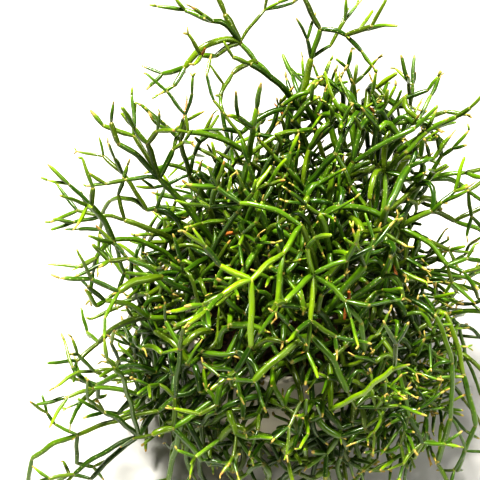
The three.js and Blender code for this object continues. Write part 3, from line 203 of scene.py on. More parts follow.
# Sprays that stand out of the crown. Each joint has a name, the joint it grows from, its
# place x, y, z, its thickness, and how far its middle bows up, or down if negative.
sprays = dict(
    tallBack=dict(
        fork=("crown", 6, 34, 154, 2.6, 3), reach=("fork", -12, 38, 174, 2.2, 1),
        top=("reach", -19, 40, 182, 2.2, 0), lead=("top", -25, 43, 193, 3.2, 0),
        curl=("lead", -29, 45, 202, 2.2, 1), hook=("top", -30, 36, 194, 2.4, 3),
        droop=("top", -41, 28, 178, 2.8, 6), stub=("top", -29, 33, 180, 2.4, 1),
        wisp=("top", -9, 47, 193, 1.4, 1), shoot=("reach", -22, 28, 175, 2.4, 2),
        arch=("fork", -15, 27, 180, 2.6, 3), twin=("fork", 10, 36, 177, 3.0, 0),
        budLeft=("twin", 8, 36, 186, 1.8, 0), budRight=("twin", 18, 41, 180, 1.6, 1),
        tall=("twin", 13, 37, 190, 2.4, 0), tallLeft=("tall", 6, 38, 203, 2.2, 0),
        tallRight=("tall", 23, 34, 189, 2.2, 1), low=("fork", -18, 24, 149, 2.6, 4)),
    upperLeft=dict(
        knee=("crown", -19, 2, 135, 2.6, 2), fork=("knee", -15, 4, 152, 2.6, 1),
        arm=("fork", -39, 0, 166, 2.4, 3), armEnd=("arm", -46, -1, 168, 1.5, 0),
        armBud=("arm", -40, 3, 172, 1.5, 0), wisp=("fork", -29, 8, 175, 1.4, 2),
        upright=("fork", -14, -2, 170, 2.6, 0), right=("fork", 4, 12, 158, 2.2, 3)),
    farLeft=dict(
        fork=("crown", -51, -6, 148, 2.8, 2), long=("fork", -65, -9, 167, 2.4, 2),
        high=("fork", -60, -1, 165, 2.2, 1), near=("fork", -54, -10, 168, 2.4, 1),
        short=("fork", -45, -3, 160, 2.4, 0), side=("fork", -63, -13, 153, 1.8, 1)),
    leftInner=dict(
        fork=("crown", -40, 10, 137, 2.4, 3), lead=("fork", -43, 10, 155, 2.2, 0),
        twig=("fork", -38, 14, 145, 1.8, 0), side=("fork", -50, 7, 134, 1.6, 1)),
    left=dict(
        fork=("crown", -69, -22, 130, 2.2, 4), upright=("fork", -75, -26, 151, 2.6, 2),
        low=("fork", -76, -26, 124, 2.2, 1), drop=("fork", -66, -23, 113, 1.8, -1)),
    leftHigh=dict(
        fork=("crown", -66, -8, 128, 2.6, 4), out=("fork", -75, -10, 132, 1.8, 1),
        up=("fork", -68, -5, 139, 1.8, 0)),
    leftFat=dict(
        fork=("crown", -50, -34, 121, 2.6, 3), fat=("fork", -65, -46, 125, 3.2, 2),
        slim=("fork", -62, -35, 132, 2.0, 1)),
    leftPair=dict(
        fork=("crown", -56, -34, 98, 2.6, 3), up=("fork", -72, -40, 114, 2.2, 3),
        down=("fork", -78, -34, 83, 2.6, 4)),
    lowLeft=dict(
        fork=("crown", -54, -46, 78, 2.6, 5), reach=("fork", -69, -53, 88, 2.4, 3),
        tipOut=("reach", -77, -55, 89, 1.6, 1), tipUp=("reach", -67, -54, 95, 1.6, 0),
        sag=("fork", -79, -45, 68, 2.4, 4)),
    longLeft=dict(
        knee=("crown", -53, -52, 60, 2.6, 5), joint=("knee", -87, -60, 54, 2.2, 2),
        bud=("joint", -96, -59, 60, 1.6, 0), drop=("joint", -108, -62, 40, 2.4, 2),
        end=("drop", -112, -64, 21, 2.2, 2), side=("joint", -89, -63, 38, 2.0, 1)),
    hangLeft=dict(
        knee=("crown", -42, -60, 66, 2.6, 6), drop=("knee", -50, -65, 29, 2.6, 1),
        side=("knee", -32, -68, 44, 2.4, 2)),
    frontLeft=dict(
        fork=("crown", 4, -32, 146, 2.8, 3), back=("fork", -19, -26, 152, 2.6, 3),
        joint=("fork", -3, -46, 145, 2.6, 1), star=("joint", -15, -59, 144, 2.6, 1),
        starFar=("star", -26, -59, 151, 2.8, 0), starLow=("star", -25, -66, 144, 2.4, 1),
        starDrop=("star", -15, -67, 118, 2.8, 2), fall=("joint", -6, -60, 129, 2.4, 2)),
    frontStar=dict(
        fork=("crown", 8, -48, 136, 2.8, 3), up=("fork", 5, -50, 151, 2.2, 0),
        right=("fork", 20, -47, 142, 2.4, 1), rightLow=("fork", 20, -54, 128, 2.4, 1),
        down=("fork", 7, -60, 124, 2.4, 1), left=("fork", -3, -64, 138, 2.6, 1)),
    longRight=dict(
        knee=("crown", 20, -14, 140, 2.8, 3), elbow=("knee", 45, -12, 127, 2.8, 4),
        up=("elbow", 57, -14, 138, 2.4, 1), out=("elbow", 65, -22, 116, 2.2, 4),
        down=("elbow", 40, -27, 116, 2.4, 2)),
    frontArch=dict(
        fork=("crown", 8, -57, 112, 2.8, 4), left=("fork", -14, -74, 106, 3.0, 3),
        leftBud=("left", -21, -77, 111, 1.8, 0), right=("fork", 23, -64, 88, 3.0, 4),
        rightBud=("right", 27, -65, 79, 1.8, 0)),
    brightFront=dict(
        knee=("crown", 17, -65, 78, 2.4, 5), lead=("knee", 36, -79, 120, 2.2, -3)),
    backRight=dict(
        fork=("crown", 28, 44, 137, 2.6, 4), arch=("fork", 46, 53, 147, 2.6, 5),
        drop=("fork", 49, 46, 130, 2.4, 4), up=("fork", 30, 51, 155, 2.0, 1)),
    backArch=dict(
        fork=("crown", 28, 34, 146, 2.4, 4), arch=("fork", 45, 38, 149, 2.4, 4),
        down=("arch", 50, 34, 132, 2.2, 1), up=("fork", 30, 36, 155, 2.0, 1)),
    backMid=dict(
        fork=("crown", 10, 22, 141, 2.6, 2), left=("fork", -1, 16, 142, 2.8, 1),
        leftUp=("fork", -1, 18, 149, 2.6, 0), up=("fork", 6, 24, 151, 2.6, 0),
        right=("fork", 20, 26, 152, 2.6, 1), twig=("fork", 15, 22, 150, 2.0, 0)),
    rightUpright=dict(
        fork=("crown", 40, 22, 132, 2.6, 3), up=("fork", 38, 20, 154, 3.0, 0),
        tip=("up", 38, 20, 160, 1.6, 0), slim=("up", 48, 24, 166, 2.0, 1), out=("up", 54, 22, 156, 2.2, 1),
        side=("fork", 46, 24, 145, 2.2, 1)),
    right=dict(
        fork=("crown", 47, 19, 142, 2.6, 4), long=("fork", 67, 12, 165, 2.6, 2),
        side=("fork", 52, 30, 158, 2.2, 1)),
    rightWhorl=dict(
        fork=("crown", 57, 2, 141, 2.4, 5), out=("fork", 71, -1, 147, 2.0, 1),
        up=("fork", 62, 5, 151, 1.8, 0), sag=("fork", 76, 6, 132, 2.2, 3)),
    farRight=dict(
        fork=("crown", 62, 15, 113, 2.4, 4), joint=("fork", 76, 17, 106, 2.4, 2),
        up=("joint", 90, 19, 113, 2.2, 1), down=("joint", 92, 14, 100, 2.2, 1)),
    thinRight=dict(
        knee=("crown", 56, 0, 92, 2.2, 4), joint=("knee", 80, -5, 92, 1.8, 2),
        up=("joint", 89, -5, 101, 2.0, 0), down=("joint", 88, -1, 76, 1.8, 2)),
    hangRight=dict(
        knee=("crown", 58, -42, 108, 2.4, 5), upper=("knee", 66, -51, 90, 2.2, 2),
        lower=("upper", 68, -59, 64, 2.2, 1), end=("lower", 66, -62, 36, 2.6, 1),
        wisp=("lower", 77, -61, 44, 1.4, 3)),
    hangOuter=dict(
        knee=("crown", 66, -30, 96, 2.4, 5), upper=("knee", 75, -42, 72, 2.2, 3),
        lower=("upper", 82, -52, 50, 2.6, 1), end=("lower", 77, -58, 25, 2.2, 2)),
    lowRight=dict(
        knee=("crown", 42, -54, 96, 2.4, 5), drop=("knee", 49, -64, 72, 2.0, 2),
        endOut=("drop", 56, -67, 58, 1.8, 1), endIn=("drop", 47, -67, 57, 1.8, 0)),
    backDroop=dict(
        fork=("crown", -24, 62, 112, 2.6, 6), out=("fork", -34, 84, 106, 2.4, 4),
        down=("fork", -20, 80, 90, 2.4, 4), up=("fork", -28, 72, 131, 2.2, 1),
        end=("out", -42, 90, 88, 2.0, 3)),
    backLow=dict(
        knee=("crown", 16, 66, 84, 2.6, 7), upper=("knee", 22, 82, 66, 2.4, 3),
        end=("upper", 20, 86, 38, 2.4, 2), side=("upper", 36, 88, 58, 2.0, 2)),
    backSide=dict(
        fork=("crown", 50, 52, 98, 2.6, 6), out=("fork", 66, 66, 88, 2.4, 4),
        up=("fork", 60, 58, 116, 2.2, 1), end=("out", 72, 72, 66, 2.2, 3)),
    backLeft=dict(
        fork=("crown", -62, 34, 98, 2.6, 6), out=("fork", -80, 46, 94, 2.4, 4),
        up=("fork", -72, 38, 116, 2.2, 1), end=("out", -88, 50, 72, 2.2, 4)),
    trailLeft=dict(
        fork=("crown", -62, -57, 49, 2.6, 5), left=("fork", -74, -62, 72, 2.4, 2),
        tip=("left", -77, -62, 77, 1.6, 0), long=("fork", -64, -65, 98, 2.0, 0),
        down=("fork", -83, -66, 31, 2.4, 2), far=("fork", -89, -69, 39, 2.2, 3)),
    trailMid=dict(
        fork=("crown", -46, -67, 68, 2.6, 6), up=("fork", -45, -61, 80, 2.2, 0),
        tall=("up", -42, -57, 105, 2.2, 0), twig=("up", -51, -60, 87, 1.8, 1),
        down=("fork", -35, -70, 50, 2.4, 2), end=("down", -26, -72, 51, 1.8, 1),
        stub=("fork", -54, -70, 68, 3.0, 1)),
    trailHigh=dict(
        fork=("crown", -60, -52, 70, 2.4, 4), far=("fork", -78, -57, 81, 2.2, 2),
        up=("fork", -63, -50, 83, 1.8, 0), low=("fork", -70, -55, 62, 2.0, 2)),
    rustRight=dict(
        knee=("crown", 44, -14, 105, 1.8, 3), lead=("knee", 75, -18, 105, 1.4, 1)),
    rightFan=dict(
        fork=("crown", 70, -6, 68, 2.6, 5), out=("fork", 89, -6, 72, 2.4, 2),
        arch=("fork", 68, -12, 60, 2.0, 1), archEnd=("arch", 57, -20, 53, 1.8, 3)),
    netHigh=dict(
        fork=("crown", 66, 6, 80, 2.2, 4), out=("fork", 87, 2, 78, 1.8, 1), up=("fork", 81, 8, 94, 1.6, 1),
        low=("fork", 79, -2, 73, 1.8, 2)),
    netMid=dict(
        fork=("crown", 65, -24, 65, 2.2, 6), side=("fork", 75, -28, 70, 2.0, 1),
        far=("side", 85, -34, 65, 2.0, 2), drop=("fork", 72, -31, 55, 1.8, 1),
        dropLeft=("drop", 69, -38, 47, 1.6, 0), dropRight=("drop", 80, -37, 48, 1.8, 1),
        end=("dropRight", 87, -42, 40, 1.6, 1)),
    netLow=dict(
        fork=("crown", 58, -36, 61, 2.0, 5), drop=("fork", 64, -42, 53, 1.8, 1),
        out=("drop", 72, -45, 49, 1.6, 1), down=("drop", 61, -49, 44, 1.6, 0),
        left=("fork", 52, -42, 53, 1.8, 1)),
    netFar=dict(
        fork=("crown", 78, -14, 72, 2.2, 6), out=("fork", 91, -12, 60, 1.8, 2),
        drop=("fork", 83, -18, 54, 1.8, 1), end=("drop", 90, -28, 41, 1.6, 2),
        left=("drop", 77, -22, 47, 1.6, 0)),
)


def makeDraw(seed):  # a repeatable stream of draws between 0 and 1
    step, wordSize = 0x6D2B79F5, 2 ** 32
    state = seed % wordSize

    def draw():
        nonlocal state
        state = (state + step) % wordSize
        mixed = (state ^ (state >> 15)) * (1 | state) % wordSize
        mixed = (mixed + (mixed ^ (mixed >> 7)) * (61 | mixed) % wordSize) % wordSize ^ mixed
        return (mixed ^ (mixed >> 14)) / wordSize

    return draw


def between(low, high, share):
    return low + (high - low) * share


def clamp(value):
    return min(1, max(0, value))


def unit(a):
    return a / np.linalg.norm(a)


def apart(a, b):
    return float(np.linalg.norm(a - b))


def archedPoints(start, end, bow, side, spans):  # also returns the middle that the arch is drawn to
    start, end = np.asarray(start, float), np.asarray(end, float)
    across = np.cross(end - start, (0, 0, 1))
    sideways = across * side / max(np.linalg.norm(across), 1)
    middle = (start + end) * 0.5 + sideways + np.array((0, 0, bow * 2.0))
    t = (np.arange(spans + 1) / spans)[:, None]
    return start * (1 - t) ** 2 + middle * (2 * t * (1 - t)) + end * t * t, middle


def spansFor(length):
    return 1 if length < growth["oneSpan"] else 2 if length < growth["twoSpans"] else 3


def spanGaps(a, b, starts, ends):  # the least distances between the span a-b and many others
    u, v, w = b - a, ends - starts, a - starts
    uu, vv = u @ u, (v * v).sum(1)
    uv, uw, vw = v @ u, w @ u, (v * w).sum(1)
    den = uu * vv - uv * uv
    slanted = den > 1e-9
    s = np.where(slanted, np.clip((uv * vw - uw * vv) / np.where(slanted, den, 1), 0, 1), 0)
    t = np.clip((uv * s + vw) / vv, 0, 1)
    s = np.clip((uv * t - uw) / uu, 0, 1)
    return np.linalg.norm(a + u * s[:, None] - starts - v * t[:, None], axis=1)


class Stem:
    def __init__(self, index, parent, rooted, points, middle, radius, slim):
        self.index, self.parent, self.rooted = index, parent, rooted
        self.points, self.middle, self.radius = points, middle, radius
        self.reach = radius * growth["slimSwell" if slim else "fullSwell"]
        self.start, self.end = points[0], points[-1]
        self.heading = unit(points[-1] - points[-2])
        self.leaving = unit(points[1] - points[0])
        self.children = []
        self.spray = self.joint = None


stems = []
spanRoom = 12000  # the most spans that the plant may hold
spanStart, spanEnd = np.zeros((spanRoom, 3)), np.zeros((spanRoom, 3))
spanStem = np.zeros(spanRoom, int)
reachOf, rootedOf = np.zeros(spanRoom), np.zeros(spanRoom, int)
spanCount = 0


def addStem(parent, rooted, points, middle, radius, slim):
    global spanCount
    made = Stem(len(stems), parent, rooted, points, middle, radius, slim)
    stems.append(made)
    reachOf[made.index], rootedOf[made.index] = made.reach, rooted
    more = len(points) - 1
    spanStart[spanCount:spanCount + more] = points[:-1]
    spanEnd[spanCount:spanCount + more] = points[1:]
    spanStem[spanCount:spanCount + more] = made.index
    spanCount += more
    if parent >= 0:
        stems[parent].children.append(made.index)
    return made


def cutBack(points, atStart):  # without the stretch next to its first or its last joint
    cut, share = points.copy(), growth["jointStretch"]
    if atStart:
        cut[0] = points[0] * (1 - share) + points[1] * share
    else:
        cut[-1] = points[-1] * (1 - share) + points[-2] * share
    return cut


def gapTo(points, starts, ends, room, least):
    if not len(starts):
        return least
    middles, halves = (starts + ends) * 0.5, np.linalg.norm(ends - starts, axis=1) / 2
    for a, b in zip(points[:-1], points[1:]):
        bound = np.linalg.norm(middles - (a + b) * 0.5, axis=1) - apart(a, b) / 2 - halves - room
        near = bound <= least
        if near.any():
            least = min(least, (spanGaps(a, b, starts[near], ends[near]) - room[near]).min())
    return least


def clearance(points, free, reach, rooted, carrier, beside):  # how clear a stem would stand of all others
    owner = spanStem[:spanCount]
    slack = np.where(rootedOf[owner] == rooted, growth["clearOfOthers"] - growth["clearOfOwn"], 0)
    room = reach + reachOf[owner] - slack
    own = np.isin(owner, [carrier, *beside])
    starts, ends = spanStart[:spanCount][~own], spanEnd[:spanCount][~own]
    least = gapTo(points, starts, ends, room[~own], growth["wideOpen"])
    for index in [carrier] * (carrier >= 0) + list(beside):
        other = stems[index]
        met = cutBack(other.points, index != carrier)
        eased = growth["clearOfOthers"] - growth["clearOfOwn"] if other.rooted == rooted else 0
        needed = np.full(len(met) - 1, reach + other.reach - eased)
        least = gapTo(free, met[:-1], met[1:], needed, least)
    return least


def staysOut(points, reach):  # above the surface and the soil, and outside the pot
    room = reach + growth["potClearance"]
    for a, b in zip(points[:-1], points[1:]):
        for k in range(5):
            x, y, z = a + (b - a) * (k / 4)
            if z - reach < growth["floorClearance"]:
                return False
            if z < growth["potHeight"] + room and math.hypot(x, y) < growth["potRimRadius"] + room:
                return False
    return True


def nearBox(end):  # fine growth stays close to the box that the solids fill
    room = growth["boxRoom"]
    return all(low / mm - room < at < high / mm + room for at, low, high in zip(end, *cadBox))


def spreads(parent, leaving):  # the stems of a whorl spread apart, and none doubles back
    if leaving @ parent.heading < growth["leastForward"]:
        return False
    return all(stems[child].leaving @ leaving < growth["closestGrown"] for child in parent.children)


def fits(rule, carrier, points, reach):  # whether a new stem has room where its rule puts it
    if not spreads(carrier, unit(points[1] - points[0])) or not staysOut(points, reach):
        return False
    if "clear" in rule and not nearBox(points[-1]):
        return False
    clear = clearance(points, cutBack(points, True), reach, carrier.rooted, carrier.index, carrier.children)
    return clear > rule.get("clear", growth["clearOfOthers"])


def crownPoint(outline, share, angle):  # a point on an outline turned round the crown
    areas = [(r1 + r0) * math.hypot(r1 - r0, z1 - z0) for (r0, z0), (r1, z1) in zip(outline, outline[1:])]
    left, i = share * sum(areas), 0
    while i < len(areas) - 1 and left > areas[i]:
        left -= areas[i]
        i += 1
    along = clamp(left / areas[i])
    radius = between(outline[i][0], outline[i + 1][0], along)
    height = between(outline[i][1], outline[i + 1][1], along)
    lean = radius / growth["leanRadius"]
    shifted = max(0, height - growth["shiftFrom"]) / growth["shiftRise"]
    return np.array((crownCentre[0] * lean + topShift[0] * shifted + radius * math.cos(angle),
                     crownCentre[1] * lean + topShift[1] * shifted + radius * math.sin(angle), height))


def laySprays():
    loose = []
    for number, (sprayName, joints) in enumerate(sprays.items()):
        places, thick, indexOf, root = {}, {}, {}, None
        for name, (origin, x, y, z, thickness, bow) in joints.items():
            places[name], thick[name] = np.array((x, y, z), float), thickness
            if origin == "crown":
                root = root or (name, bow)
                continue
            length = apart(places[origin], places[name])
            points, middle = archedPoints(places[origin], places[name], bow, 0, spansFor(length))
            parent = indexOf.get(origin, -1)
            slim = length < growth["slimSpray"]
            made = addStem(parent, -1 - number, points, middle, thickness / 2, slim)
            made.spray, made.joint, indexOf[name] = sprayName, name, made.index
        first, bow = root
        loose.append(dict(number=number, name=sprayName, first=places[first],
                          radius=thick[first] / 2, bow=bow))
    return loose


def growRootedStems():
    rule, radius = rootedRule, growth["rootStemRadius"]
    for number in range(growth["mainStems"]):
        out = growth["rootedRadius"] * math.sqrt((number + 0.5) / growth["mainStems"])
        x, y = out * math.cos(number * goldenAngle), out * math.sin(number * goldenAngle)
        bottom = np.array((x, y, growth["soilTop"] - growth["rootDepth"]))
        collar = np.array((x, y, growth["soilTop"] + growth["collarHeight"]))
        draw, best = makeDraw(rule["seed"] + number), None
        for attempt in range(rule["attempts"]):
            share = clamp((number + 0.5) / growth["mainStems"] + (draw() - 0.5) * rule["shareDrift"])
            angle = number * goldenAngle + (draw() - 0.5) * rule["turnDrift"]
            place = crownPoint(innerOutline, share, angle)
            place[2] += (draw() - 0.5) * rule["jitter"]
            bow = between(rule["bowLow"], rule["bowHigh"], draw())
            arch, middle = archedPoints(collar, place, bow, 0, 2)
            points = np.vstack((bottom, arch))
            clear = clearance(points, cutBack(points, True), radius * growth["fullSwell"], number, -1, [])
            if best is None or clear > best[0]:
                best = clear, points, middle
            if clear > rule["clear"]:
                break
        addStem(-1, number, best[1], best[2], radius, False)


def joinSprays(loose, joints):  # each spray is carried by the nearest joint that it can reach in the clear
    ends = np.array([joint.end for joint in joints])
    for spray in loose:
        reach, best = spray["radius"] * growth["fullSwell"], None
        near = np.argsort(np.linalg.norm(ends - spray["first"], axis=1), kind="stable")
        for carrier in [joints[i] for i in near[:linkRule["carriers"]]]:
            met = [s.index for s in stems if s.index != carrier.index
                   and (s.parent == carrier.index or apart(s.start, spray["first"]) < 0.01)]
            for side in linkRule["sides"]:
                for bow in (spray["bow"], *linkRule["bows"]):
                    spans = spansFor(apart(carrier.end, spray["first"])) + 1
                    points, middle = archedPoints(carrier.end, spray["first"], bow, side, spans)
                    leaving = unit(points[1] - points[0])
                    if not spreads(carrier, leaving) or not staysOut(points, reach):
                        continue
                    free = cutBack(cutBack(points, True), False)
                    clear = clearance(points, free, reach, carrier.rooted, carrier.index, met)
                    if best is None or clear > best[0] + 0.001:
                        best = clear, points, middle, carrier
            if best and best[0] > growth["clearOfOthers"] + linkRule["moreClear"]:
                break
        if not best:
            continue
        clear, points, middle, carrier = best
        link = addStem(carrier.index, carrier.rooted, points, middle, spray["radius"], False)
        link.spray = spray["name"]
        for made in stems:
            if made.rooted != -1 - spray["number"]:
                continue
            made.rooted = rootedOf[made.index] = link.rooted
            if made.parent < 0:
                made.parent = link.index
                link.children.append(made.index)


def growRound(carriers, outline, rule):  # each place on an outline is reached from a near joint
    grown, ends = [], np.array([carrier.end for carrier in carriers])
    for number in range(rule["count"]):
        draw = makeDraw(rule["seed"] + number)
        for attempt in range(rule["attempts"]):
            share = clamp((number + 0.5) / rule["count"] + (draw() - 0.5) * growth["shareDrift"])
            angle = number * goldenAngle + (draw() - 0.5) * growth["turnDrift"]
            if "arc" in rule:
                angle = rule["middle"] + (draw() - 0.5) * rule["arc"]
            place = crownPoint(outline, share, angle)
            end = place + np.array([draw() - 0.5, draw() - 0.5, draw() - 0.5]) * rule["jitter"]
            radius = between(rule["thin"], rule["thick"], draw()) / 2
            bow = between(rule["bowLow"], rule["bowHigh"], draw())
            side = (draw() - 0.5) * rule["side"]
            reach = radius * growth["slimSwell" if rule["slim"] else "fullSwell"]
            chosen = None
            near = np.argsort(np.linalg.norm(ends - end, axis=1), kind="stable")
            for carrier in [carriers[i] for i in near[:growth["nearJoints"]]]:
                length = apart(carrier.end, end)
                full = len(carrier.children) >= rule["whorl"]
                if full or not rule["shortest"] <= length <= rule["longest"]:
                    continue
                points, middle = archedPoints(carrier.end, end, bow, side, spansFor(length))
                if fits(rule, carrier, points, reach):
                    chosen = addStem(carrier.index, carrier.rooted, points, middle, radius, rule["slim"])
                    break
            if chosen:
                grown.append(chosen)
                break
    return grown


def growTips(carriers, rule):  # short tips stand in twos and threes on the last joints
    grown = []
    for carrier in carriers:
        draw = makeDraw(rule["seed"] + carrier.index)
        wanted = math.floor(between(rule["fewest"], rule["whorl"] + 1, draw()))
        for number in range(wanted * 2):
            if len(grown) >= rule["most"] or len(carrier.children) >= wanted:
                break
            turn = (number / wanted + draw()) * math.pi * 2
            tilt = between(rule["tiltLow"], rule["tiltHigh"], draw())
            length = between(rule["shortest"], rule["longest"], draw())
            radius = min(carrier.radius, between(rule["thin"], rule["thick"], draw()) / 2)
            upward = (1, 0, 0) if abs(carrier.heading[2]) > 0.9 else (0, 0, 1)
            across = unit(np.cross(carrier.heading, upward))
            over = np.cross(carrier.heading, across)
            ring = across * math.cos(turn) + over * math.sin(turn)
            lift = np.array((0, 0, rule["lift"]))
            lifted = unit(carrier.heading * math.cos(tilt) + ring * math.sin(tilt) + lift)
            points, middle = archedPoints(carrier.end, carrier.end + lifted * length, 0, 0, 1)
            if fits(rule, carrier, points, radius * growth["slimSwell"]):
                grown.append(addStem(carrier.index, carrier.rooted, points, middle, radius, True))
    return grown


looseSprays = laySprays()
growRootedStems()
rootedStems = [stem for stem in stems if stem.rooted >= 0]
joinSprays(looseSprays, rootedStems)
skirtStems = growRound(rootedStems, skirtOutline, skirtRule)
middleStems = growRound(rootedStems, middleOutline, middleRule)
hangingStems = growRound(skirtStems, hangingOutline, hangingRule)
growRound(skirtStems + hangingStems, hangingOutline, frontRule)
outerStems = growRound(middleStems, outerOutline, outerRule)
growRound(middleStems + outerStems, crestOutline, crestRule)
growTips([stem for stem in stems if stem.rooted >= 0 and not stem.children], tipRule)
print("stems grown:", len(stems))

# The fine growth that fills the crown between those stems
fineRule = dict(count=600, seed=7000, attempts=10, jitter=16, thin=2.0, thick=2.9, bowLow=-1,
                bowHigh=5, side=9, shortest=10, longest=34, whorl=6, slim=True, clear=0.15)
deepRule = dict(fineRule, count=300, seed=6000)
lowRule = dict(fineRule, count=460, seed=8000, middle=-1.8, arc=3.2)
topRule = dict(fineRule, count=90, seed=12000, middle=0.9, arc=2.2)
netRule = dict(fineRule, count=150, seed=13000, thin=1.3, thick=2.0, middle=-0.35, arc=1.3,
               shortest=8, longest=30)
budRule = dict(tipRule, most=1500, seed=9000, tiltLow=0.2, tiltHigh=0.9, longest=14, thin=1.4,
               thick=2.2, lift=0.2, clear=0.15)
deepOutline = [(0, 112), (18, 110), (32, 98), (42, 84), (46, 74)]
fillOutline = [(0, 138), (24, 132), (42, 116), (52, 98), (58, 78), (60, 60), (57, 40)]
frontOutline = [(48, 96), (57, 80), (60, 62), (58, 36), (56, 16)]
netOutline = [(60, 100), (70, 84), (77, 62), (76, 38)]
coarse = len(stems)
crownStems = [stem for stem in stems if stem.end[2] > growth["fineFrom"]]
deepStems = growRound(crownStems, deepOutline, deepRule)
fillStems = growRound(crownStems + deepStems, fillOutline, fineRule)
growRound(crownStems + fillStems, frontOutline, lowRule)
growRound(crownStems + fillStems, crestOutline, topRule)
growRound(crownStems + fillStems, netOutline, netRule)
growTips([stem for stem in stems if stem.rooted >= 0 and not stem.children], budRule)
print("fine stems grown:", len(stems) - coarse)

# How the stems look: ribbed, a little narrow at each joint, with blunt tips that dry to tan
skin = {
    "seed": 4100, "plump": 0.88, "ribs": 5, "fineRibs": 4, "ribDepth": 0.09, "ribTwist": 0.018,
    "ringStep": 2.5, "arcSteps": 20, "neck": 0.3, "neckLength": 1.7, "neckRings": (-0.5, 0.4, 1.6),
    "bulge": 0.05, "tipTaper": 0.26, "tipLength": 0.45, "wobble": 0.3, "dryTips": 0.6,
    "dryShortest": 0.6, "dryLongest": 3.2, "deadJoints": 0.02, "deadWithin": 52, "placedFirst": 160,
    "deadThin": 0.65,
    "heart": (-2, -3, 84), "shadedTo": 18, "lightRise": 50,
    "deep": (0.022, 0.062, 0.003), "fresh": (0.080, 0.165, 0.005), "bright": (0.23, 0.37, 0.006),
    "olive": (0.125, 0.140, 0.008), "tan": (0.44, 0.33, 0.085), "rust": (0.34, 0.12, 0.020),
    "dot": (0.50, 0.52, 0.22), "shine": 0.5, "coat": 0.16, "coatRoughness": 0.1,
    "patchScale": 140.0, "grainScale": 1500.0, "dotSpacing": 2.4, "bumpDepth": 0.00025, "bump": 0.45,
}
stub = {
    "onTips": (0.45, 0.35, 0.15, 0.05), "onJoints": (0.78, 0.18, 0.04, 0.0), "spread": 0.5,
    "shortest": 1.2, "longest": 3.4, "thin": 0.32, "thick": 0.58, "bend": 0.5, "dry": (0.1, 0.45, 0.8),
}
brightSprays = {"brightFront": 0.9, "frontLeft": 0.5, "frontStar": 0.5, "longRight": 0.4,
                "frontArch": 0.3, "upperLeft": 0.3, "longLeft": 0.35, "left": 0.35}
brightJoints = {"frontLeft.back": 0.25, "frontLeft.joint": 0.6, "frontLeft.star": 0.8,
                "frontLeft.starFar": 0.95, "frontLeft.starLow": 0.95, "frontLeft.starDrop": 1.2,
                "frontLeft.fall": 0.6, "frontStar.up": 0.9, "frontStar.down": 0.8, "frontStar.left": 0.6}
slimSprays = {"frontLeft": 0.86, "frontStar": 0.88}
capTurns = (0.0, 0.5, 0.95, 1.3, 1.5)


def smoothStep(low, high, value):
    t = np.clip((value - low) / (high - low), 0, 1)
    return t * t * (3 - 2 * t)


def centreLine(stem):  # fine points along the arch that the joint follows
    t = (np.arange(skin["arcSteps"] + 1) / skin["arcSteps"])[:, None]
    start = stem.points[1] if stem.parent < 0 else stem.start
    line = start * (1 - t) ** 2 + stem.middle * (2 * t * (1 - t)) + stem.end * t * t
    if stem.parent >= 0:
        return line
    line = np.vstack((np.linspace(stem.start, start, 7)[:-1], line))
    for _ in range(6):  # eases the bend where the stem leaves the soil
        line[1:-1] = (line[:-2] + 2 * line[1:-1] + line[2:]) / 4
    return line


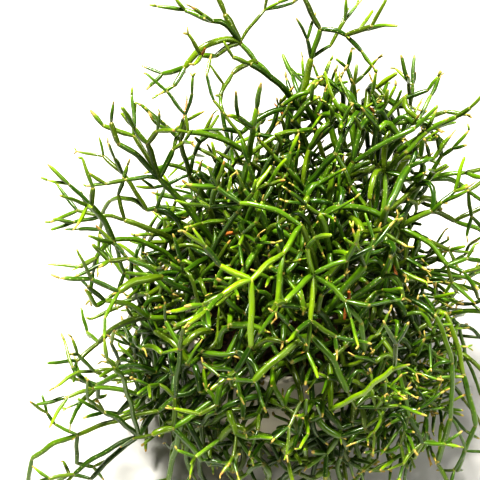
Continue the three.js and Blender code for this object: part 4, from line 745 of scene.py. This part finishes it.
def stemMesh(stem, rng):  # a closed ribbed tube: rings of corners, their tones, their places along it
    line = centreLine(stem)
    steps = np.linalg.norm(np.diff(line, axis=0), axis=1)
    along = np.concatenate(([0], np.cumsum(steps)))
    length, radius = along[-1], stem.radius * skin["plump"] * slimSprays.get(stem.spray, 1)
    last, inside = not stem.children, np.linalg.norm(stem.end[:2]) < skin["deadWithin"]
    dry = last and rng.random() < skin["dryTips"]
    dead = last and (stem.spray == "rustRight" or (
        stem.index > skin["placedFirst"] and rng.random() < skin["deadJoints"] and inside))
    dryLength = rng.uniform(skin["dryShortest"], skin["dryLongest"])
    tip = length + radius * skin["tipLength"]
    necks = [share * radius for share in skin["neckRings"]]
    cap = [tip - radius * (1 - math.sin(a)) for a in capTurns]
    inner = np.arange(necks[-1] + skin["ringStep"], cap[0] - 0.8, skin["ringStep"])
    rings = np.array([s for s in necks if s < cap[0] - 0.2] + list(inner) + cap)
    phase = rng.uniform(0, 2 * math.pi, 6)
    path = np.stack([np.interp(rings, along, line[:, k]) for k in range(3)], axis=1)
    path += np.minimum(rings, 0)[:, None] * stem.leaving
    path += np.maximum(rings - length, 0)[:, None] * stem.heading
    share = np.clip(rings / length, 0, 1)
    window = np.sin(share * math.pi) * skin["wobble"] * min(1, length / 14)
    path += window[:, None] * np.stack([np.sin(rings * (0.28 + 0.07 * k) + phase[k]) for k in range(3)], 1)

    swell = 1 - skin["neck"] * np.exp(-((rings + 0.5 * radius) / skin["neckLength"]) ** 2)
    swell = swell * (1 + skin["bulge"] * np.sin(share * math.pi) + 0.04 * np.sin(rings * 1.7 + phase[3])
                     + 0.03 * np.sin(rings * 3.9 + phase[4]))
    if last:
        swell *= 1 - skin["tipTaper"] * smoothStep(0.35, 1.0, share)
    else:
        swell *= 1 - 0.1 * smoothStep(length - 3, length, rings)
    if dry:
        swell *= 1 - rng.uniform(0.1, 0.4) * smoothStep(tip - dryLength, tip - dryLength * 0.4, rings)
    if dead:
        swell *= skin["deadThin"]
    swell[-len(cap):] *= np.cos(capTurns)
    tangents = np.gradient(path, axis=0)
    tangents /= np.linalg.norm(tangents, axis=1)[:, None]
    across = unit(np.cross(tangents[0], (0.3, 0.5, 0.81)))
    ribs = skin["ribs"] if stem.index < coarse else skin["fineRibs"]
    turn = np.arange(ribs * 2) / ribs * math.pi
    roll = phase[5] + rings * rng.uniform(-skin["ribTwist"], skin["ribTwist"])
    fade = smoothStep(0, 2.2, rings) * (1 - smoothStep(tip - 1.6, tip, rings))
    corners = np.zeros((len(rings), ribs * 2, 3))
    for i, heading in enumerate(tangents):
        across = unit(across - heading * (across @ heading))
        over = np.cross(heading, across)
        ridge = 1 + skin["ribDepth"] * fade[i] * np.cos(ribs * turn)
        out = np.cos(turn + roll[i])[:, None] * across + np.sin(turn + roll[i])[:, None] * over
        corners[i] = path[i] + out * (radius * swell[i] * ridge)[:, None]
    drying = (tip - dryLength, tip - dryLength * 0.3) if dry else None
    return corners, stemTones(stem, rng, rings, length, drying, dead), rings


def stemTones(stem, rng, rings, length, drying, dead):  # youth, dryness, shade and deadness at each ring; youth is lowered towards the crown's heart, partly for older inner growth and partly as painted shade
    last, share = not stem.children, np.clip(rings / length, 0, 1)
    young = rng.random() ** 1.6 * 0.6 + (0.12 if last else 0)
    bright = brightJoints.get(f"{stem.spray}.{stem.joint}", brightSprays.get(stem.spray, 0))
    young = max(young, bright * rng.uniform(0.8, 1.1))
    # painted shade: stems that end near the crown's heart get a darker green, partly as older inner growth
    # and partly as the shade of the dense crown painted into the colour
    outwardAgeAndShade = clamp((apart(stem.end, np.array(skin["heart"])) - skin["shadedTo"]) / skin["lightRise"])
    young *= 0.25 + 0.75 * outwardAgeAndShade
    youthAndPaintedShade = young * (0.75 + 0.5 * share)
    if last:
        youthAndPaintedShade = youthAndPaintedShade + 0.35 * smoothStep(0.5, 1, share) * outwardAgeAndShade
    dried = np.full(len(rings), 0.9 if dead else 0.0)
    if drying:
        dried = np.maximum(dried, smoothStep(*drying, rings))
    if not last:
        dried = np.maximum(dried, 0.4 * smoothStep(length - 1.1, length, rings))
    if stem.parent < 0:
        dried = np.maximum(dried, 0.75 * (1 - smoothStep(4, 26, rings)))
    else:
        dried = np.maximum(dried, 0.45 * (1 - smoothStep(0.3, 1.3, rings)))
    shade, gone = np.full(len(rings), rng.random()), np.full(len(rings), 1.0 if dead else 0.0)
    return np.stack((np.clip(youthAndPaintedShade, 0, 1), dried, shade, gone), 1)


def stubMeshes(stem, rng):  # the short starts of branchlets at a joint, yellow green with a dried end
    for _ in range(rng.choice(4, p=stub["onJoints" if stem.children else "onTips"])):
        way = unit(stem.heading * 1.3 + rng.normal(0, stub["spread"], 3))
        side = unit(np.cross(way, (0.31, 0.77, 0.55)))
        over = np.cross(way, side)
        length = rng.uniform(stub["shortest"], stub["longest"])
        wide = rng.uniform(stub["thin"], stub["thick"])
        foot = stem.end + stem.heading * stem.radius * 0.2
        bend = side * rng.uniform(-stub["bend"], stub["bend"])
        rings = np.array((0.0, length * 0.5, length * 0.92, length))
        corners = np.array([[foot + way * at + bend * (at / length) ** 2
                             + (side * math.cos(a) + over * math.sin(a)) * wide * thick
                             for a in (0, 1.57, 3.14, 4.71)]
                            for at, thick in zip(rings, (1.0, 0.95, 0.75, 0.3))])
        dry, shade = rng.choice(stub["dry"]), rng.random() * 0.85
        yield corners, np.array([(0.75, dry + rise, shade, 0.0) for rise in (0.0, 0.05, 0.5, 0.6)]), rings


def bandFaces(first, levels, sides):  # the faces between rings of corners, from the first corner on
    base = first + np.arange(levels - 1)[:, None] * sides
    k = np.arange(sides)
    k2 = (k + 1) % sides
    return np.stack((base + k, base + k2, base + sides + k2, base + sides + k), 2).reshape(-1, 4).tolist()


def buildPlant(number):
    rng = np.random.default_rng(skin["seed"] + number)
    corners, tones, faces, spots = [], [], [], []
    count = 0
    for stem in stems:
        if stem.rooted != number:
            continue
        for tube, tone, rings in [stemMesh(stem, rng), *stubMeshes(stem, rng)]:
            levels, sides = tube.shape[:2]
            k = np.arange(sides)
            lower, upper = rings[:-1, None] + 0 * k, rings[1:, None] + 0 * k
            left, right = (k + 0 * lower) / 2 / skin["ribs"], (k + 1 + 0 * lower) / 2 / skin["ribs"]
            pairs = [np.stack(p, 2) for p in ((left, lower), (right, lower), (right, upper), (left, upper))]
            faces += bandFaces(count, levels, sides)
            spots += np.stack(pairs, 2).reshape(-1, 2).tolist()
            faces.append([count + i for i in reversed(range(sides))])
            spots += [(0.5, rings[0])] * sides
            faces.append([count + (levels - 1) * sides + i for i in range(sides)])
            spots += [(0.5, rings[-1])] * sides
            corners.append(tube.reshape(-1, 3))
            tones.append(np.repeat(tone, sides, axis=0))
            count += levels * sides
    mesh = bpy.data.meshes.new(f"plant{number + 1:02d}")
    mesh.from_pydata(np.vstack(corners) * mm, [], faces)
    mesh.uv_layers.new(name="skinMap").data.foreach_set("uv", np.array(spots, np.float32).ravel())
    tone = mesh.attributes.new("tone", "FLOAT_COLOR", "POINT")
    tone.data.foreach_set("color", np.vstack(tones).astype(np.float32).ravel())
    mesh.polygons.foreach_set("use_smooth", [True] * len(faces))
    mesh.update()
    return mesh


def makeSkin():
    material, wire, shader = newMaterial("greenSkin", skin["shine"], skin["coat"], skin["coatRoughness"])
    where = wire.add("ShaderNodeTexCoord", {}, {}, "Object")
    chart = wire.add("ShaderNodeUVMap", {"uv_map": "skinMap"}, {})
    around = wire.add("ShaderNodeSeparateXYZ", {}, {0: chart})
    along = wire.add("ShaderNodeSeparateXYZ", {}, {0: chart}, 1)
    tone = wire.add("ShaderNodeAttribute", {"attribute_name": "tone"}, {}, "Color")
    deadness = wire.add("ShaderNodeAttribute", {"attribute_name": "tone"}, {}, "Alpha")
    youthAndPaintedShade, dried, shade = [wire.add("ShaderNodeSeparateColor", {}, {0: tone}, k) for k in range(3)]

    patches = wire.speckle(where, skin["patchScale"])
    grain = wire.speckle(where, skin["grainScale"], 3.0, 0.65)
    ribs = around * skin["ribs"]
    # ridge marks the crest of each rib, for the painted highlight further down
    ridge = wire.maths("COSINE", ribs * (2 * math.pi))
    rib = wire.maths("ROUND", ribs)
    step = (along + rib * 0.9) / skin["dotSpacing"]
    key = wire.add("ShaderNodeCombineXYZ", {}, {0: rib, 1: wire.maths("FLOOR", step),
                                                2: wire.maths("ROUND", shade * 40.0)})
    chance = wire.add("ShaderNodeTexWhiteNoise", {}, {"Vector": key})
    across = wire.maths("ABSOLUTE", ribs - rib) * 1.5
    down = wire.maths("ABSOLUTE", wire.maths("FRACT", step) - 0.3 - chance * 0.4) * skin["dotSpacing"]
    away = wire.maths("SQRT", across * across + down * down)
    dots = away.smooth(0.38, 0.12) * chance.smooth(0.5, 0.75)

    # the youth channel brings the painted shade of the crown's heart into the green
    mature = youthAndPaintedShade + (patches - 0.5) * 0.45 + (shade - 0.5) * 0.2
    green = wire.mixed(mature.smooth(0.0, 0.52), skin["deep"], skin["fresh"])
    green = wire.mixed(mature.smooth(0.42, 1.0), green, skin["bright"])
    green = wire.mixed(shade.smooth(0.5, 0.95) * 0.4, green, skin["olive"])
    # painted highlight: the rib ridges are tinted lighter and the grooves between them stay darker,
    # standing in for the sheen on the ribs
    green = wire.mixed(ridge.smooth(0.1, 1.0) * 0.14, green, skin["bright"])
    green = wire.mixed(dots * 0.6, green, skin["dot"])
    edge = (dried + (grain - 0.5) * 0.4).smooth(0.22, 0.75)
    redness = wire.maths("MAXIMUM", deadness, shade.smooth(0.8, 1.0) * 0.5)
    straw = wire.mixed(redness, skin["tan"], skin["rust"])
    colour = wire.mixed(edge, green, straw)
    roughness = 0.2 + patches * 0.2 + dots * 0.15 + edge * 0.4
    height = dots * 0.8 + grain * 0.35 + edge * (grain * 0.8)
    feed(shader, wire, colour, roughness, height, skin["bumpDepth"], skin["bump"])
    return material


skinMaterial = makeSkin()
for number in range(growth["mainStems"]):
    place(f"plant{number + 1:02d}", buildPlant(number), skinMaterial, [f"stem_{number + 1:02d}"], "stem")
print("stems built")

# The pot: plain moulded plastic, a rim band and five drain holes. Millimetres.
pot = {
    "height": 70.0, "rimRadius": 45.0, "footRadius": 31.0, "wall": 2.0, "band": 11.0, "step": 1.6,
    "holes": 5, "holeRadius": 3.2, "holeRing": 18.0, "segments": 120,
    "colour": (0.66, 0.62, 0.52), "stain": (0.40, 0.33, 0.22),
}


def innerRadius(height):
    top = pot["rimRadius"] - pot["step"] - pot["wall"]
    return between(pot["footRadius"] - pot["wall"], top, height / pot["height"])


def rounded(corners):  # a profile with each inner corner turned into a small arc
    points = [corners[0][:2]]
    for before, here, after in zip(corners, corners[1:], corners[2:]):
        corner, size = np.array(here[:2]), here[2]
        start = corner + unit(np.array(before[:2]) - corner) * size
        end = corner + unit(np.array(after[:2]) - corner) * size
        for t in np.linspace(0, 1, 6):
            points.append(tuple(start * (1 - t) ** 2 + corner * (2 * t * (1 - t)) + end * t * t))
    return points + [corners[-1][:2]]


def lathe(name, profile, segments):  # a closed turned solid whose profile starts and ends on the axis
    turn = np.arange(segments) / segments * 2 * math.pi
    rings = [np.stack((r * np.cos(turn), r * np.sin(turn), np.full(segments, z)), 1)
             for r, z in profile[1:-1]]
    corners = np.vstack([*rings, [(0, 0, profile[0][1]), (0, 0, profile[-1][1])]])
    faces, top = bandFaces(0, len(rings), segments), len(corners) - 1
    end = (len(rings) - 1) * segments
    for k in range(segments):
        faces.append((top - 1, (k + 1) % segments, k))
        faces.append((top, end + k, end + (k + 1) % segments))
    mesh = bpy.data.meshes.new(name)
    mesh.from_pydata(corners * mm, [], faces)
    mesh.update()
    return mesh


def smoothFaces(mesh, angle):
    mesh.polygons.foreach_set("use_smooth", [True] * len(mesh.polygons))
    mesh.set_sharp_from_angle(angle=math.radians(angle))


def buildPot():
    band = pot["height"] - pot["band"]
    outer = innerRadius(band) + pot["wall"]
    profile = rounded([
        (0, 0), (pot["footRadius"], 0, 1.5), (outer, band, 0.6), (pot["rimRadius"], band + 0.3, 1.0),
        (pot["rimRadius"], pot["height"], 1.0), (innerRadius(pot["height"]), pot["height"], 0.9),
        (innerRadius(pot["wall"]), pot["wall"], 1.0), (0, pot["wall"]),
    ])
    shell = bpy.data.objects.new("shell", lathe("shell", profile, pot["segments"]))
    bpy.context.scene.collection.objects.link(shell)
    drills = []
    for i in range(pot["holes"]):
        angle = i / pot["holes"] * 2 * math.pi
        drill = lathe("drill", [(0, -2), (pot["holeRadius"], -2), (pot["holeRadius"], 4), (0, 4)], 32)
        drill.transform(Matrix.Translation((pot["holeRing"] * math.cos(angle) * mm,
                                            pot["holeRing"] * math.sin(angle) * mm, 0)))
        cutter = bpy.data.objects.new("drill", drill)
        bpy.context.scene.collection.objects.link(cutter)
        cut = shell.modifiers.new("drain", "BOOLEAN")
        cut.operation, cut.object, cut.solver = "DIFFERENCE", cutter, "EXACT"
        drills.append(cutter)
    bpy.context.view_layer.update()
    mesh = bpy.data.meshes.new_from_object(shell.evaluated_get(bpy.context.evaluated_depsgraph_get()))
    for spare in [shell, *drills]:
        bpy.data.objects.remove(spare)
    smoothFaces(mesh, 40)
    return mesh


def makePotFinish():
    material, wire, shader = newMaterial("offWhitePlastic", specular=0.4)
    where = wire.add("ShaderNodeTexCoord", {}, {}, "Object")
    clouds = wire.speckle(where, 38.0, 4.0)
    grain = wire.speckle(where, 2600.0, 2.0)
    height = wire.add("ShaderNodeSeparateXYZ", {}, {0: where}, 2)
    # darker towards the bottom, over the lowest 14 mm of the pot
    lowDarkening = (height + (clouds - 0.5) * 0.02).smooth(0.014, 0.0) * 0.35
    rimDirt = (height + (clouds - 0.5) * 0.012).smooth(0.0655, 0.0705) * 0.2
    colour = wire.mixed(clouds.smooth(0.35, 0.75) * 0.14, pot["colour"], pot["stain"])
    colour = wire.mixed(wire.maths("MAXIMUM", lowDarkening, rimDirt), colour, pot["stain"])
    roughness = 0.42 + clouds * 0.16
    feed(shader, wire, colour, roughness, grain, 0.00006, 0.3)
    return material


place("potShell", buildPot(), makePotFinish(), ["pot"], "pot")
print("pot built")

# The potting mix: a lumpy mound with bark chips and a few bits of perlite. Millimetres.
mix = {
    "top": 61.0, "rise": 1.6, "gap": 0.3, "rings": 46, "segments": 120, "lump": 1.1, "chips": 520,
    "seed": 77, "dark": (0.016, 0.010, 0.006), "light": (0.055, 0.034, 0.019), "bark": (0.12, 0.058, 0.026),
    "perlite": (0.62, 0.60, 0.55),
}


def soilHeight(x, y):
    edge = innerRadius(mix["top"]) - mix["gap"]
    inward = max(0, 1 - math.hypot(x, y) / edge)
    lumps = noise.fractal(Vector((x * 0.16, y * 0.16, 3.1)), 0.7, 2.2, 5)
    mound = mix["rise"] * inward * (1 + 0.6 * math.sin(x * 0.5) * math.cos(y * 0.4))
    return mix["top"] + mound + mix["lump"] * lumps * min(1, inward * 8)


def buildSoil():
    rng = np.random.default_rng(mix["seed"])
    edge = innerRadius(mix["top"]) - mix["gap"]
    bottom = pot["wall"] + mix["gap"]
    foot = innerRadius(bottom) - mix["gap"]
    waist = between(foot, edge, 0.5), between(bottom, mix["top"], 0.5)
    profile = [(0, bottom), (foot * 0.5, bottom), (foot, bottom), waist]
    profile += [(edge * (1 - i / mix["rings"]), mix["top"]) for i in range(mix["rings"])]
    profile.append((0, mix["top"]))
    body = lathe("pottingMix", profile, mix["segments"])
    for corner in body.vertices:
        x, y, z = corner.co / mm
        if z > mix["top"] - 0.01:
            corner.co.z = soilHeight(x, y) * mm
    corners = [tuple(v.co) for v in body.vertices]
    faces = [tuple(p.vertices) for p in body.polygons]
    kinds = [0.0] * len(corners)
    gold = (1 + math.sqrt(5)) / 2
    knob = [unit(np.array(c, float)) for c in (
        (-1, gold, 0), (1, gold, 0), (-1, -gold, 0), (1, -gold, 0), (0, -1, gold), (0, 1, gold),
        (0, -1, -gold), (0, 1, -gold), (gold, 0, -1), (gold, 0, 1), (-gold, 0, -1), (-gold, 0, 1))]
    knobFaces = ((0, 11, 5), (0, 5, 1), (0, 1, 7), (0, 7, 10), (0, 10, 11), (1, 5, 9), (5, 11, 4),
                 (11, 10, 2), (10, 7, 6), (7, 1, 8), (3, 9, 4), (3, 4, 2), (3, 2, 6), (3, 6, 8),
                 (3, 8, 9), (4, 9, 5), (2, 4, 11), (6, 2, 10), (8, 6, 7), (9, 8, 1))
    for _ in range(mix["chips"]):
        radius, angle = (edge - 2.4) * math.sqrt(rng.random()), rng.uniform(0, 2 * math.pi)
        x, y = radius * math.cos(angle), radius * math.sin(angle)
        white = rng.random() < 0.1
        size = rng.uniform(0.5, 1.0) if white else rng.uniform(0.6, 1.9)
        wide, high = rng.uniform(0.6, 1), rng.uniform(0.7, 1) if white else rng.uniform(0.3, 0.6)
        shape = np.array((1, wide, high)) * size
        spin, lean = rng.uniform(0, 2 * math.pi), rng.uniform(-0.5, 0.5)
        turn = np.array(Euler((lean, rng.uniform(-0.4, 0.4), spin)).to_matrix())
        first, rest = len(corners), soilHeight(x, y) + 0.15 * size
        for point in knob:
            at = turn @ (point * shape * rng.uniform(0.8, 1.15))
            corners.append(((x + at[0]) * mm, (y + at[1]) * mm, (rest + at[2]) * mm))
        faces += [(first + a, first + b, first + c) for a, b, c in knobFaces]
        kinds += [1.0 if white else rng.uniform(0.35, 0.6)] * 12
    mesh = bpy.data.meshes.new("pottingMix")
    mesh.from_pydata(corners, [], faces)
    kind = mesh.attributes.new("kind", "FLOAT", "POINT")
    kind.data.foreach_set("value", kinds)
    mesh.update()
    smoothFaces(mesh, 50)
    return mesh


def makeSoilFinish():
    material, wire, shader = newMaterial("dampSoil", specular=0.3)
    where = wire.add("ShaderNodeTexCoord", {}, {}, "Object")
    kind = wire.add("ShaderNodeAttribute", {"attribute_name": "kind"}, {}, "Fac")
    crumbs = wire.speckle(where, 420.0, 6.0, 0.7)
    fine = wire.speckle(where, 1900.0, 4.0, 0.7)
    colour = wire.mixed(crumbs.smooth(0.35, 0.7), mix["dark"], mix["light"])
    bark = wire.mixed(fine.smooth(0.3, 0.7), mix["light"], mix["bark"])
    colour = wire.mixed(kind.smooth(0.1, 0.3), colour, bark)
    colour = wire.mixed(kind.smooth(0.8, 0.95), colour, mix["perlite"])
    feed(shader, wire, colour, 0.75 + fine * 0.2, crumbs * 0.7 + fine * 0.5, 0.0006, 0.8)
    return material


place("pottingMix", buildSoil(), makeSoilFinish(), ["soil"], "soil")
print("soil built")

# The floor, the light and the sky
studio = {
    "floorSize": 6.0, "floorColour": (0.60, 0.59, 0.57), "skyColour": (1.0, 0.99, 0.96), "sky": 0.1,
    "keySpot": (-0.22, -0.06, 1.08), "keySize": 0.22, "keyPower": 27.0, "keyColour": (1.0, 0.98, 0.93),
    "fillSpot": (0.95, -0.35, 0.75), "fillSize": 0.5, "fillPower": 6.0, "fillColour": (1.0, 0.99, 0.97),
    "aim": (0, 0, 0.1),
}


def makeFloor():
    half = studio["floorSize"] / 2
    mesh = bpy.data.meshes.new("floor")
    corners = [(x * half, y * half, 0) for x, y in ((-1, -1), (1, -1), (1, 1), (-1, 1))]
    mesh.from_pydata(corners, [], [(0, 1, 2, 3)])
    material, wire, shader = newMaterial("paleFloor", specular=0.3)
    where = wire.add("ShaderNodeTexCoord", {}, {}, "Object")
    clouds = wire.speckle(where, 9.0, 3.0)
    low = tuple(0.96 * c for c in studio["floorColour"])
    colour = wire.mixed(clouds, low, studio["floorColour"])
    feed(shader, wire, colour, 0.6 + clouds * 0.1, clouds, 0.0005, 0.1)
    place("floor", mesh, material)


def makeLamp(name):
    lamp = bpy.data.objects.new(name, bpy.data.lights.new(name, "AREA"))
    lamp.data.shape, lamp.data.size = "DISK", studio[name + "Size"]
    lamp.data.energy, lamp.data.color = studio[name + "Power"], studio[name + "Colour"]
    lamp.location = studio[name + "Spot"]
    lamp.rotation_mode = "QUATERNION"
    lamp.rotation_quaternion = (Vector(studio["aim"]) - lamp.location).to_track_quat("-Z", "Y")
    bpy.context.scene.collection.objects.link(lamp)


makeFloor()
makeLamp("key")
makeLamp("fill")
bpy.context.scene.view_settings.view_transform = "Standard"
bpy.context.scene.view_settings.look = "High Contrast"
sky = bpy.data.worlds.new("sky")
sky.use_nodes = True
sky.node_tree.nodes["Background"].inputs["Color"].default_value = (*studio["skyColour"], 1)
sky.node_tree.nodes["Background"].inputs["Strength"].default_value = studio["sky"]
bpy.context.scene.world = sky
print("light and camera set")
